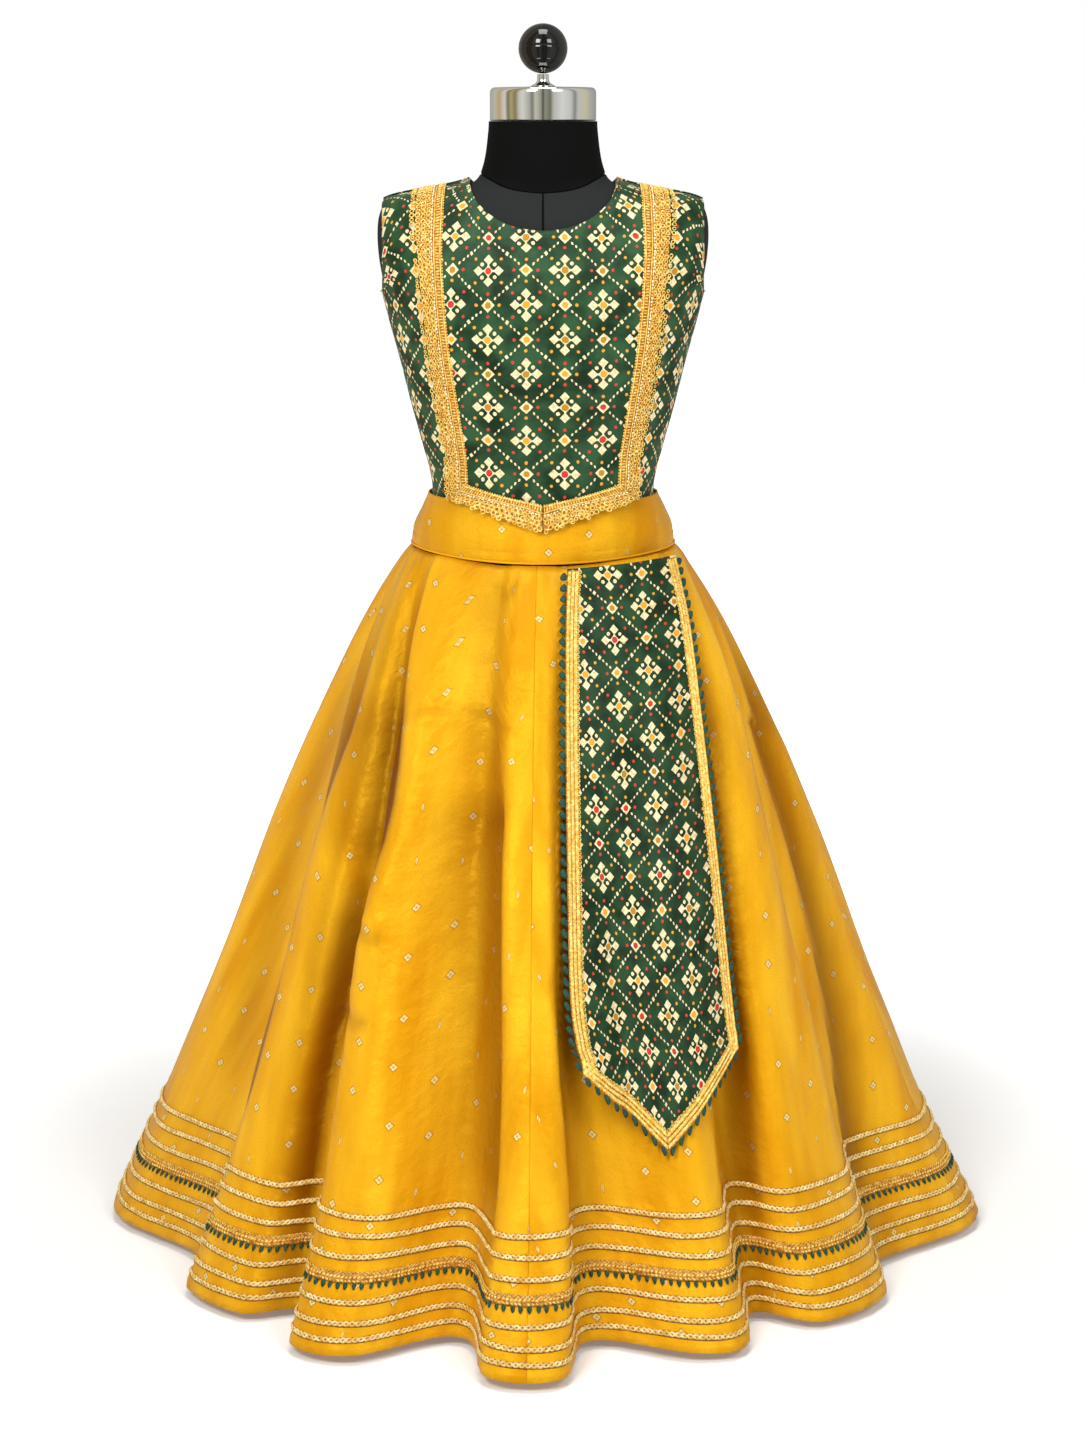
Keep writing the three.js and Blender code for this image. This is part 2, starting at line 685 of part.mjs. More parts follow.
function waistRadius(angle) {
  const row = rowAt(formSections, formHeight(waistSeam(angle)));
  const lift = bandLift + bandWall;
  const depth = (Math.cos(angle) > 0 ? row.front : row.back) + lift;
  const across = Math.abs(Math.sin(angle) / (row.side + lift)) ** sectionFullness;
  const ahead = Math.abs(Math.cos(angle) / depth) ** sectionFullness;
  return (across + ahead) ** (-1 / sectionFullness);
}

// The folds' control points on one ring: two shoulders and a valley for each fold.
function foldPoints(flare) {
  return skirtFolds.flatMap((fold) => {
    const open = THREE.MathUtils.clamp((flare - fold.opens) / (1 - fold.opens), 0, 1);
    const depth = (fold.radius - fold.floor) * open ** 0.8;
    const spots = [
      { angle: fold.from, inward: 0 },
      { angle: fold.to, inward: 0 },
      { angle: fold.valley, inward: depth },
    ];
    return spots.map(({ angle, inward }) => {
      const hemAngle = THREE.MathUtils.degToRad(angle > 180 ? angle - 360 : angle);
      const turned = drifted(hemAngle, flare);
      const waist = waistRadius(turned);
      const radius = waist + (fold.radius - waist) * flare - inward;
      return new THREE.Vector2(radius * Math.sin(turned), -radius * Math.cos(turned));
    });
  });
}

function ringPoints(ring) {
  const controls = foldPoints(ring.flare);
  const count = controls.length;
  return Array.from({ length: skirtSteps }, (_, step) => {
    const index = Math.floor(step / 2);
    const share = (step % 2) / 2;
    const near = [-1, 0, 1, 2].map((offset) => controls[(index + offset + count) % count]);
    const x = catmullRom(near[0].x, near[1].x, near[2].x, near[3].x, share);
    const y = catmullRom(near[0].y, near[1].y, near[2].y, near[3].y, share);
    const seam = waistSeam(Math.atan2(x, -y));
    return new THREE.Vector3(x, y, ring.z + (seam - bandBottom) * (1 - ring.flare) ** 3);
  });
}

const skirtOuter = skirtRings.map(ringPoints);

function wrapped(step) {
  return (step + skirtSteps) % skirtSteps;
}

// The wall's outward direction at each point, level with the floor.
function outward(ring, step) {
  const before = skirtOuter[ring][wrapped(step - 1)];
  const across = skirtOuter[ring][wrapped(step + 1)].clone().sub(before);
  return new THREE.Vector3(across.y, -across.x, 0).normalize();
}

function addGore({ gore, from, to }) {
  const rings = skirtRings.length;
  const columns = to - from + 1;
  const outer = [];
  const inner = [];
  for (let ring = rings - 1; ring >= 0; ring -= 1) {
    const outerRow = [];
    const innerRow = [];
    for (let column = 0; column < columns; column += 1) {
      const step = wrapped(from + column);
      const out = outward(ring, step);
      const along = new THREE.Vector3(-out.y, out.x, 0);
      const part = column === 0 ? 0.5 : column === columns - 1 ? -0.5 : 0;
      const point = skirtOuter[ring][step].clone().addScaledVector(along, part * seamGap);
      outerRow.push(point);
      innerRow.push(point.clone().addScaledVector(out, -skirtWall));
    }
    outer.push(outerRow);
    inner.push(innerRow);
  }
  addPiece(gore, wallGeometry(outer, inner), finishes.satin);
}

// A point on the skirt's wall at a height, on one of its steps, moved out by a lift.
function skirtSpot(step, z, lift) {
  let ring = skirtRings.length - 2;
  while (ring > 0 && skirtOuter[ring][step].z < z) ring -= 1;
  const high = skirtOuter[ring][step];
  const low = skirtOuter[ring + 1][step];
  const share = (z - low.z) / (high.z - low.z);
  const out = outward(ring + 1, step).lerp(outward(ring, step), share);
  return low.clone().lerp(high, share).addScaledVector(out.normalize(), lift);
}

function addHemTrim({ name, above, width, depth, finish: finishName }) {
  const rings = [
    { at: above - width / 2, lift: seamGap },
    { at: above + width / 2, lift: seamGap },
    { at: above, lift: seamGap + depth },
  ].map(({ at, lift }) => Array.from({ length: skirtSteps }, (_, step) =>
    skirtSpot(step, hemHeight + at * hemLean, lift)));
  addPiece(name, ringGeometry(rings), finishes[finishName]);
}

// ---------------------------------------------------------------- sash panel
// The skirt's outer section at a height, as angles from the centre front and radii.
const sections = new Map();

function sectionAt(z) {
  if (!sections.has(z)) {
    const points = skirtOuter[0].map((_, step) => skirtSpot(step, z, 0));
    const flat = (point) => ({ angle: Math.atan2(point.x, -point.y), point: point.setZ(0) });
    sections.set(z, points.map(flat));
  }
  return sections.get(z);
}

function skirtReach(angle, z) {
  const section = sectionAt(z);
  let reach = 0;
  section.forEach((start, step) => {
    const end = section[wrapped(step + 1)];
    if (start.angle > angle || end.angle <= angle || end.angle - start.angle > 1) return;
    const share = (angle - start.angle) / (end.angle - start.angle);
    reach = Math.max(reach, start.point.clone().lerp(end.point, share).length());
  });
  return reach;
}

// The sash bridges the folds: it never dips into a valley faster than its slope allows.
function sashRadius(angle, z) {
  const flare = z > sashFlares.hip ? sashFlares.above : sashFlares.below;
  let radius = 0;
  for (const height of [z, z - sashReach, z + sashReach]) {
    const fall = (z - height) * flare;
    for (let sample = -8; sample <= 8; sample += 1) {
      const offset = THREE.MathUtils.degToRad(sample * 1.25);
      const reach = skirtReach(angle + offset, Math.min(height, sashTopHeight(0)));
      radius = Math.max(radius, reach * (1 - sashSlope * Math.abs(offset)) - fall);
    }
  }
  return radius;
}

function sashSurface(x, z, lift) {
  let angle = Math.asin(x / 400);
  let radius = 400;
  for (let pass = 0; pass < 5; pass += 1) {
    radius = sashRadius(angle, z) + lift;
    angle = Math.asin(Math.min(x / radius, 1));
  }
  return new THREE.Vector3(radius * Math.sin(angle), -radius * Math.cos(angle), z);
}

function sashTopHeight(across) {
  const angle = THREE.MathUtils.degToRad(13 + 50 * across);
  return waistSeam(angle) - sashTopDrop;
}

function sashBottomHeight(across) {
  const away = Math.abs(across - 0.5) / 0.5;
  return sashTip + (sashCorner - sashTip) * away;
}

const sashColumns = [0, 0.09, 0.22, 0.36, 0.5, 0.64, 0.78, 0.91, 1];
const sashRows = 15;
const sashFoot = 0.973;           // where the laces along the point begin, down the sash

function sashShare(row) {
  return row === 0 ? 1 : sashFoot * (1 - (row - 1) / (sashRows - 2));
}

const sashFace = grid(sashRows, sashColumns.length, (row, column) => {
  const across = sashColumns[column];
  const top = sashTopHeight(across);
  const z = top + (sashBottomHeight(across) - top) * sashShare(row);
  const edges = rowAt(sashEdges, positionOf(sashEdges, "z", z));
  return sashSurface(edges.near + (edges.far - edges.near) * across, z, sashLift);
});

// The sash's outward direction at one of its face's corners.
function sashNormal(row, column) {
  const left = sashFace[row][Math.max(column - 1, 0)];
  const right = sashFace[row][Math.min(column + 1, sashColumns.length - 1)];
  const low = sashFace[Math.max(row - 1, 0)][column];
  const high = sashFace[Math.min(row + 1, sashRows - 1)][column];
  return right.clone().sub(left).cross(high.clone().sub(low)).normalize();
}

function sashPoint(row, column, lift) {
  return sashFace[row][column].clone().addScaledVector(sashNormal(row, column), lift);
}

function addSashStrip(name, rows, columns, lift, wall, material, trim = () => [0, 0]) {
  const layer = (height) => rows.map((row, i) => columns.map((column, j) => {
    const [across, along] = trim(i, j);
    const point = sashPoint(row, column, height);
    point.addScaledVector(sideways(row, column), across);
    return point.addScaledVector(downwards(row, column), along);
  }));
  addPiece(name, wallGeometry(layer(lift + wall), layer(lift)), material);
}

function sideways(row, column) {
  const left = sashFace[row][Math.max(column - 1, 0)];
  const right = sashFace[row][Math.min(column + 1, sashColumns.length - 1)];
  return right.clone().sub(left).normalize();
}

function downwards(row, column) {
  const low = sashFace[Math.max(row - 1, 0)][column];
  const high = sashFace[Math.min(row + 1, sashRows - 1)][column];
  return low.clone().sub(high).normalize();
}

function range(from, to) {
  return Array.from({ length: to - from + 1 }, (_, index) => from + index);
}

function addSash() {
  const end = sashColumns.length - 1;
  const middle = end / 2;
  const laceLift = sashWall + seamGap;
  const long = range(1, sashRows - 1);
  const short = (i) => [0, i === 0 ? -seamGap : 0];
  const addLace = (name, rows, columns, trim) =>
    addSashStrip(name, rows, columns, laceLift, laceWall, finishes.lace, trim);
  addSashStrip("sash_panel", range(0, sashRows - 1), range(0, end), 0, sashWall, finishes.print);
  addLace("sash_lace_near", long, [0, 1], short);
  addLace("sash_lace_far", long, [end - 1, end], short);
  addLace("sash_lace_point_near", [0, 1], range(0, middle),
    (i, j) => [j === middle ? -seamGap / 2 : 0, 0]);
  addLace("sash_lace_point_far", [0, 1], range(middle, end),
    (i, j) => [j === 0 ? seamGap / 2 : 0, 0]);
}

// Picots outside one edge of the sash. The edge is a list of spots, each with a point and
// the direction that leads away from the sash there, in its own surface.
function addPicots(name, edge) {
  const lengths = [0];
  edge.slice(1).forEach(({ point }, index) =>
    lengths.push(lengths[index] + point.distanceTo(edge[index].point)));
  const total = lengths[edge.length - 1];
  const count = Math.round(total / picotPitch);
  const spotAt = (share, out, lift) => {
    const along = share * total;
    const next = Math.max(lengths.findIndex((length) => length >= along - 1e-6), 1);
    const part = (along - lengths[next - 1]) / (lengths[next] - lengths[next - 1]);
    const blend = (key) => edge[next - 1][key].clone().lerp(edge[next][key], part);
    const spot = blend("point").addScaledVector(blend("away"), out);
    return spot.addScaledVector(blend("normal"), lift);
  };
  const corners = [];
  const triangles = [];
  for (let index = 0; index <= count; index += 1) {
    const share = index / count;
    for (const out of [picotRoot.from, picotRoot.to]) {
      corners.push(spotAt(share, out, picotWall), spotAt(share, out, 0));
    }
    corners.push(spotAt(Math.min(share + 0.5 / count, 1), picotLength, picotWall / 2));
  }
  const quad = (a, b, c, d) => triangles.push(a, b, c, a, c, d);
  for (let index = 0; index < count; index += 1) {
    const [rootFace, rootBack, face, back, tip] = [0, 1, 2, 3, 4].map((part) => index * 5 + part);
    quad(rootFace, face, face + 5, rootFace + 5);
    quad(rootBack, rootBack + 5, back + 5, back);
    quad(rootFace, rootFace + 5, rootBack + 5, rootBack);
    triangles.push(face, tip, face + 5, back, back + 5, tip);
    triangles.push(face, back, tip, back + 5, face + 5, tip);
  }
  const last = count * 5;
  quad(0, 1, 3, 2);
  quad(last, last + 2, last + 3, last + 1);
  corners.pop();
  addPiece(name, meshGeometry(corners, triangles), finishes.picot);
}

function edgeSpot(row, column, across, along) {
  const away = sideways(row, column).multiplyScalar(across);
  away.addScaledVector(downwards(row, column), along).normalize();
  return { point: sashFace[row][column], away, normal: sashNormal(row, column) };
}

function addSashPicots() {
  const end = sashColumns.length - 1;
  const middle = end / 2;
  const top = sashRows - 2;
  const down = range(0, top).reverse();
  const slant = 0.4;
  addPicots("sash_picots_near", down.map((row) => edgeSpot(row, 0, -1, 0)));
  addPicots("sash_picots_point_near", range(0, middle).map((j) => edgeSpot(0, j, -slant, 1)));
  addPicots("sash_picots_point_far", range(middle, end).map((j) => edgeSpot(0, j, slant, 1)));
  addPicots("sash_picots_far", range(0, top).map((row) => edgeSpot(row, end, 1, 0)));
}

addForm();
addFittings();
addFrontCentre();
addFrontSide("choli_front_left", 1);
addFrontSide("choli_front_right", -1);
addBack("choli_back_left", 1);
addBack("choli_back_right", -1);
addPrincessLace("choli_lace_left", 1);
addPrincessLace("choli_lace_right", -1);
addHemLace("choli_lace_hem_left", 1);
addHemLace("choli_lace_hem_right", -1);
addBand("waistband_front", -sideAngle, sideAngle);
addBand("waistband_back", sideAngle, 3 * sideAngle);
addPiping();
goreSeams.forEach(addGore);
hemTrims.forEach(addHemTrim);
addSash();
addSashPicots();

export default set;
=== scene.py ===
# A lehenga choli set on a limbless dress form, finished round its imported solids.
# The frame is in metres, +Z up, the front faces -Y and +X is the wearer's left.
# The dictionaries and tables of the pieces are in millimetres and degrees, and the studio's
# in metres.
import math

import bmesh
import bpy
import numpy as np
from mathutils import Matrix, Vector


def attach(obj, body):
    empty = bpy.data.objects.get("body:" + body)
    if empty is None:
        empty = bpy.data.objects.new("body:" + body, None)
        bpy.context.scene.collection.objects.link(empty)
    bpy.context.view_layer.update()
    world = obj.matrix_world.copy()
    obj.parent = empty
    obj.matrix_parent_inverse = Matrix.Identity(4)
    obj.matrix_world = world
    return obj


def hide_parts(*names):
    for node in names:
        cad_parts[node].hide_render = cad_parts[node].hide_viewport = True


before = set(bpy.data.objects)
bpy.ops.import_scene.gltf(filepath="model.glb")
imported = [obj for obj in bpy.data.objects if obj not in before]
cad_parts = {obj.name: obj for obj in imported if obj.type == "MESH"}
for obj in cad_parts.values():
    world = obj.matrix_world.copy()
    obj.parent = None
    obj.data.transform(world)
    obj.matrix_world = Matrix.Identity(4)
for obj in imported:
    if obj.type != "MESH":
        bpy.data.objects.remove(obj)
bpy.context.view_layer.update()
mm = 0.001
chance = np.random.default_rng(7)


# camera, floor and light
studio = {
    "lens": 75, "sensor": 36, "cameraPlace": (0, -2.5123, 0.91994), "cameraPitch": -10.98,
    "cameraClip": (0.1, 30),
    "floorColour": "#fbfbfa", "floorHalf": 9, "floorSquares": 8,
    # the floor's own light grows from the first value to the second between two distances
    "floorGlow": (0.16, 1.0), "glowReach": (0.35, 1.15),
    "backColour": "#ffffff", "softColour": "#fffdf8", "softStrength": 0.13, "shineStrength": 0.85,
    "lamps": [
        {"name": "left", "place": (-1.3, -2.6, 2.8), "aim": (0, 0, 0.5), "size": 1.1, "power": 66},
        {"name": "right", "place": (1.6, -2.4, 2.7), "aim": (0, 0, 0.5), "size": 1.1, "power": 36},
        {"name": "top", "place": (0, -0.3, 3.3), "aim": (0, 0, 0.6), "size": 1.2, "power": 34},
    ],
    # what polished metal mirrors, from the wearer's right round the front to the left
    "room": [
        (0.0, "#b9b9b5"), (0.05, "#d8d4c4"), (0.09, "#d9b98a"), (0.14, "#f2f0e8"), (0.17, "#8c8468"),
        (0.2, "#c9b98c"), (0.24, "#9a8f62"), (0.28, "#e8e6da"), (0.31, "#f4f2ea"), (0.37, "#c9c9bf"),
        (0.4, "#8e8f83"), (0.43, "#e2e0cf"), (0.48, "#b0b0a2"), (0.5, "#5e5c50"), (0.52, "#a8a79a"),
        (0.57, "#85856f"), (0.6, "#d8d8d2"), (0.68, "#f6f6f4"), (0.76, "#e4e4e2"), (0.8, "#9c9c98"),
        (0.83, "#dcdcda"), (0.9, "#e3ddb8"), (0.95, "#c4c4c0"), (1.0, "#a9a9a6"),
    ],
}


def linear(code):
    # an sRGB hex colour as linear light
    parts = [int(code[i:i + 2], 16) / 255 for i in (1, 3, 5)]
    return [p / 12.92 if p <= 0.04045 else ((p + 0.055) / 1.055) ** 2.4 for p in parts] + [1]


def addNode(tree, kind, inputs=(), **settings):
    # inputs is a list in socket order or a dictionary; a node given as a value is linked
    node = tree.nodes.new("ShaderNode" + kind)
    for key, value in settings.items():
        setattr(node, key, value)
    pairs = inputs.items() if isinstance(inputs, dict) else enumerate(inputs)
    for key, value in pairs:
        if isinstance(value, bpy.types.Node):
            value = value.outputs[0]
        if isinstance(value, bpy.types.NodeSocket):
            tree.links.new(value, node.inputs[key])
        else:
            node.inputs[key].default_value = value
    return node


def addNodes(tree, rows, **known):
    # a table of nodes: name, kind, inputs, settings; kind may carry its operation after a
    # colon, and an input given as text is a row's output, as "name" or "name:socket"
    made = dict(known)

    def read(value):
        if not isinstance(value, str):
            return value
        row, _, socket = value.partition(":")
        return made[row].outputs[socket] if socket else made[row]

    for row, kind, inputs, *settings in rows:
        kind, _, operation = kind.partition(":")
        settings = dict(settings[0]) if settings else {}
        if operation:
            settings["operation"] = operation
        if isinstance(inputs, dict):
            inputs = {key: read(value) for key, value in inputs.items()}
        else:
            inputs = [read(value) for value in inputs]
        made[row] = addNode(tree, kind, inputs, **settings)
    return made


def newMaterial(name, colour, roughness, metallic=0.0, **sockets):
    # returns the material, its tree and its shader
    material = bpy.data.materials.new(name)
    material.use_nodes = True
    tree = material.node_tree
    tree.nodes.clear()
    inputs = {"Roughness": roughness, "Metallic": metallic}
    inputs["Base Color"] = linear(colour) if isinstance(colour, str) else colour
    inputs.update(sockets)
    shader = addNode(tree, "BsdfPrincipled", inputs)
    addNode(tree, "OutputMaterial", [shader])
    return material, tree, shader


def link(obj):
    bpy.context.collection.objects.link(obj)
    return obj


def addRoom():
    # white behind the piece, soft light from all round, and a striped room in polished metal
    world = bpy.data.worlds.new("world")
    world.use_nodes = True
    tree = world.node_tree
    tree.nodes.clear()
    nodes = addNodes(tree, [
        ("rays", "LightPath", ()),
        ("way", "TexCoord", ()),
        ("parts", "SeparateXYZ", ["way:Generated"]),
        ("flat", "CombineXYZ", ["parts:X", "parts:Y", 0]),
        ("level", "VectorMath:NORMALIZE", ["flat"]),
        ("turn", "SeparateXYZ", ["level"]),
        ("back", "Math:MULTIPLY_ADD", ["turn:Y", 0.5, 0.5]),
        ("reach", "Math:SQRT", ["back"]),
        ("hand", "Math:SIGN", ["turn:X"]),
        ("side", "Math:MULTIPLY", ["reach", "hand"]),
        ("place", "Math:MULTIPLY_ADD", ["side", 0.5, 0.5]),
        ("room", "ValToRGB", ["place"]),
        ("soft", "Background", [linear(studio["softColour"]), studio["softStrength"]]),
        ("shine", "Background", ["room", studio["shineStrength"]]),
        ("plain", "Background", [linear(studio["backColour"]), 1.0]),
        ("lit", "MixShader", ["rays:Is Glossy Ray", "soft", "shine"]),
        ("seen", "MixShader", ["rays:Is Camera Ray", "lit", "plain"]),
        ("out", "OutputWorld", ["seen"]),
    ])
    ramp = nodes["room"].color_ramp
    for place, colour in studio["room"][1:-1]:
        ramp.elements.new(place)
    for element, (place, colour) in zip(ramp.elements, studio["room"]):
        element.position, element.color = place, linear(colour)
    bpy.context.scene.world = world


def floorPaint():
    # white, lit evenly away from the piece so that no edge shows, with its shadow close to it
    material, tree, shader = newMaterial("matt floor paint", studio["floorColour"], 0.9)
    near, far = studio["floorGlow"]
    made = addNodes(tree, [
        ("place", "TexCoord", ()),
        ("reach", "VectorMath:LENGTH", ["place:Object"]),
        ("far", "MapRange", ["reach:Value", *studio["glowReach"], 0.0, 1.0],
         {"interpolation_type": "SMOOTHSTEP"}),
        ("own", "Math:MULTIPLY_ADD", ["far", far - near, near]),
        ("white", "Emission", [linear("#ffffff"), "own"]),
    ])
    glow = addNode(tree, "AddShader", [shader, made["white"]])
    out = next(node for node in tree.nodes if node.type == "OUTPUT_MATERIAL")
    tree.links.new(glow.outputs[0], out.inputs[0])
    return material


def addStudio():
    data = bpy.data.cameras.new("camera")
    data.lens, data.sensor_width = studio["lens"], studio["sensor"]
    data.clip_start, data.clip_end = studio["cameraClip"]
    camera = link(bpy.data.objects.new("camera", data))
    camera.location = studio["cameraPlace"]
    camera.rotation_euler = (math.radians(90 + studio["cameraPitch"]), 0, 0)
    bpy.context.scene.camera = camera
    for lamp in studio["lamps"]:
        data = bpy.data.lights.new(lamp["name"], "AREA")
        data.size, data.energy = lamp["size"], lamp["power"]
        obj = link(bpy.data.objects.new(lamp["name"], data))
        obj.location = lamp["place"]
        aim = Vector(lamp["aim"]) - Vector(lamp["place"])
        obj.rotation_euler = aim.to_track_quat("-Z", "Y").to_euler()
    bm = bmesh.new()
    squares = studio["floorSquares"]
    bmesh.ops.create_grid(bm, x_segments=squares, y_segments=squares, size=studio["floorHalf"])
    mesh = bpy.data.meshes.new("floor")
    bm.to_mesh(mesh)
    bm.free()
    floor = link(bpy.data.objects.new("floor", mesh))
    mesh.materials.append(floorPaint())
    floor.visible_glossy = False        # polished metal mirrors the room instead
    addRoom()
    bpy.context.scene.view_settings.view_transform = "Standard"


addStudio()
print("studio ready")


# tables and grids
def curveThrough(before, start, end, after, share):
    # uniform Catmull-Rom between start and end
    return 0.5 * (2 * start + (end - before) * share
                  + (2 * before - 5 * start + 4 * end - after) * share ** 2
                  + (3 * start - before - 3 * end + after) * share ** 3)


def denseTable(rows, steps=40):
    # every column on a smooth curve, with its fractional row number in front
    rows = np.array(rows, float)
    padded = np.vstack([2 * rows[0] - rows[1], rows, 2 * rows[-1] - rows[-2]])
    share = (np.arange(steps) / steps)[:, None]
    parts = [curveThrough(*padded[i:i + 4], share) for i in range(len(rows) - 1)]
    table = np.vstack(parts + [rows[-1:]])
    return np.column_stack([np.arange(len(table)) / steps, table])


def smoothStep(value, low, high):
    share = np.clip((value - low) / (high - low), 0, 1)
    return share * share * (3 - 2 * share)


def riseBetween(spec, value):
    # spec: the full rise, and the values between which it grows from nothing
    rise, low, high = spec
    return rise * smoothStep(value, low, high)


def signedPower(value, exponent):
    return np.sign(value) * np.abs(value) ** exponent


def unit(vectors):
    return vectors / np.maximum(np.linalg.norm(vectors, axis=-1, keepdims=True), 1e-9)


def gridNormals(points, closed=False):
    # outward where columns run to the wearer's left and rows run up
    if closed:
        across = np.roll(points, -1, 1) - np.roll(points, 1, 1)
    else:
        across = np.gradient(points, axis=1)
    return unit(np.cross(across, np.gradient(points, axis=0)))


def runLengths(points, axis=0):
    # distance along each line of a grid
    steps = np.linalg.norm(np.diff(points, axis=axis), axis=-1)
    pad = [(0, 0)] * steps.ndim
    pad[axis] = (1, 0)
    return np.cumsum(np.pad(steps, pad), axis=axis)


def meshFromGrids(name, grids, uvs=None, join=False):
    # bmesh grids whose corners are placed on the given rows and columns of points
    bm = bmesh.new()
    for points in grids:
        bmesh.ops.create_grid(bm, x_segments=points.shape[1] - 1, y_segments=points.shape[0] - 1, size=1)
    mesh = bpy.data.meshes.new(name)
    bm.to_mesh(mesh)
    bm.free()
    places = np.concatenate([points.reshape(-1, 3) for points in grids]) * mm
    mesh.vertices.foreach_set("co", places.astype(np.float32).ravel())
    if uvs is not None:
        corners = np.empty(len(mesh.loops), np.int32)
        mesh.loops.foreach_get("vertex_index", corners)
        flat = np.concatenate([uv.reshape(-1, 2) for uv in uvs]) * mm
        layer = mesh.uv_layers.new(name="cloth")
        layer.data.foreach_set("uv", flat[corners].astype(np.float32).ravel())
    if join:
        bm = bmesh.new()
        bm.from_mesh(mesh)
        bmesh.ops.remove_doubles(bm, verts=bm.verts, dist=1e-6)
        bmesh.ops.holes_fill(bm, edges=[e for e in bm.edges if e.is_boundary], sides=24)
        bmesh.ops.recalc_face_normals(bm, faces=bm.faces)
        bm.to_mesh(mesh)
        bm.free()
    mesh.update()
    return mesh


def addPiece(name, mesh, material, nodes=(), wall=0.0):
    # wall is a cloth's thickness, laid inwards from the placed face
    obj = link(bpy.data.objects.new(name, mesh))
    mesh.materials.append(material)
    mesh.shade_smooth()
    if wall:
        shell = obj.modifiers.new("wall", "SOLIDIFY")
        shell.thickness, shell.offset = wall * mm, -1
    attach(obj, "root")
    if nodes:
        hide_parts(*nodes)
    return obj


# dress form
form = {
    "fullness": 2.2,          # exponent of the oval sections
    # height, half width, depth in front and behind
    "sections": [
        (556, 94, 73, 71), (562, 101, 79, 77), (580, 103, 82, 80), (600, 102.6, 78, 76),
        (616, 95.8, 73, 70), (632, 89.4, 69.5, 65), (652, 92.2, 71.5, 65.5),
        (673, 97.8, 75.5, 68.5), (707, 107, 82.5, 75), (740, 115, 88.5, 81),
        (773, 124, 91.5, 85.5), (790, 128.3, 91, 87), (805, 131.6, 88.5, 87.5),
        (822, 134.6, 83.5, 86), (838, 136, 77, 82.5), (852, 135.6, 69.5, 77),
        (861, 133.6, 62.5, 70), (866.5, 130.4, 57.5, 64), (870, 123, 54.5, 60),
        (872.8, 111, 52.3, 57), (876, 93, 50.6, 54.3), (879.6, 74, 49.5, 52.3),
        (883.5, 60.5, 48.8, 50.8), (888.5, 53.3, 48.2, 49.6), (897, 49.6, 47.6, 48.4),
        (908, 47, 46.6, 47), (925, 44.9, 44.9, 44.9), (934, 44.3, 44.3, 44.3),
    ],
    "steps": 128, "rows": 150,
    # the neck's seam: height in front and its rise at the side and the back, depth, half width
    # in table rows and the rows added on both sides of it
    "neckSeam": {"front": 877, "side": 15, "back": 5, "depth": 1.0, "width": 0.07, "extra": [0.1, 0.2],
                 "sideCurve": 1.4, "pullBelow": 4, "pullAbove": 0.3, "seamShadeHalf": 0.09},
    # the seam down the centre front, its half width and the columns added beside it in degrees;
    # seamShadeHalf is the half width of the shade painted in a seam's groove, in the jersey's own map
    "frontSeam": {"depth": 0.7, "width": 0.45, "extra": [0.35, 0.8], "seamShadeHalf": 0.00045},
    # the shoulder's ridge: its heights, and the half width at which it turns up the neck
    "ridge": (861, 900), "ridgeTurn": 50,
}
formTable = denseTable(form["sections"])
rightAngle = math.pi / 2


def positionAt(height):
    return np.interp(height, formTable[:, 1], formTable[:, 0])


def sectionAt(position):
    return [np.interp(position, formTable[:, 0], formTable[:, k]) for k in (1, 2, 3, 4)]


def formPoint(angle, position):
    angle, position = np.broadcast_arrays(angle, position)
    height, side, front, back = sectionAt(position)
    roundness = 2 / form["fullness"]
    depth = np.where(np.cos(angle) > 0, front, back)
    return np.stack([side * signedPower(np.sin(angle), roundness),
                     -depth * signedPower(np.cos(angle), roundness), height], -1)


def lifted(angle, position, lift):
    # a point above the form, along its outward direction
    angle, position, lift = np.broadcast_arrays(angle, position, lift)
    nudge = 0.02
    across = formPoint(angle + nudge, position) - formPoint(angle - nudge, position)
    up = formPoint(angle, position + nudge) - formPoint(angle, position - nudge)
    return formPoint(angle, position) + unit(np.cross(across, up)) * lift[..., None]


ridgeLow, ridgeHigh = form["ridge"]
shoulder = formTable[(formTable[:, 1] >= ridgeLow) & (formTable[:, 1] <= ridgeHigh)][::-1]


def ridgeAt(x):
    # where the form is as wide as x, on the shoulder's ridge
    return np.interp(x, shoulder[:, 2], shoulder[:, 0])


def frontSpot(x, height):
    position = np.minimum(positionAt(height), ridgeAt(np.maximum(x, form["ridgeTurn"])))
    side = sectionAt(position)[1]
    return np.arcsin(np.minimum(x / side, 1) ** (form["fullness"] / 2)), position


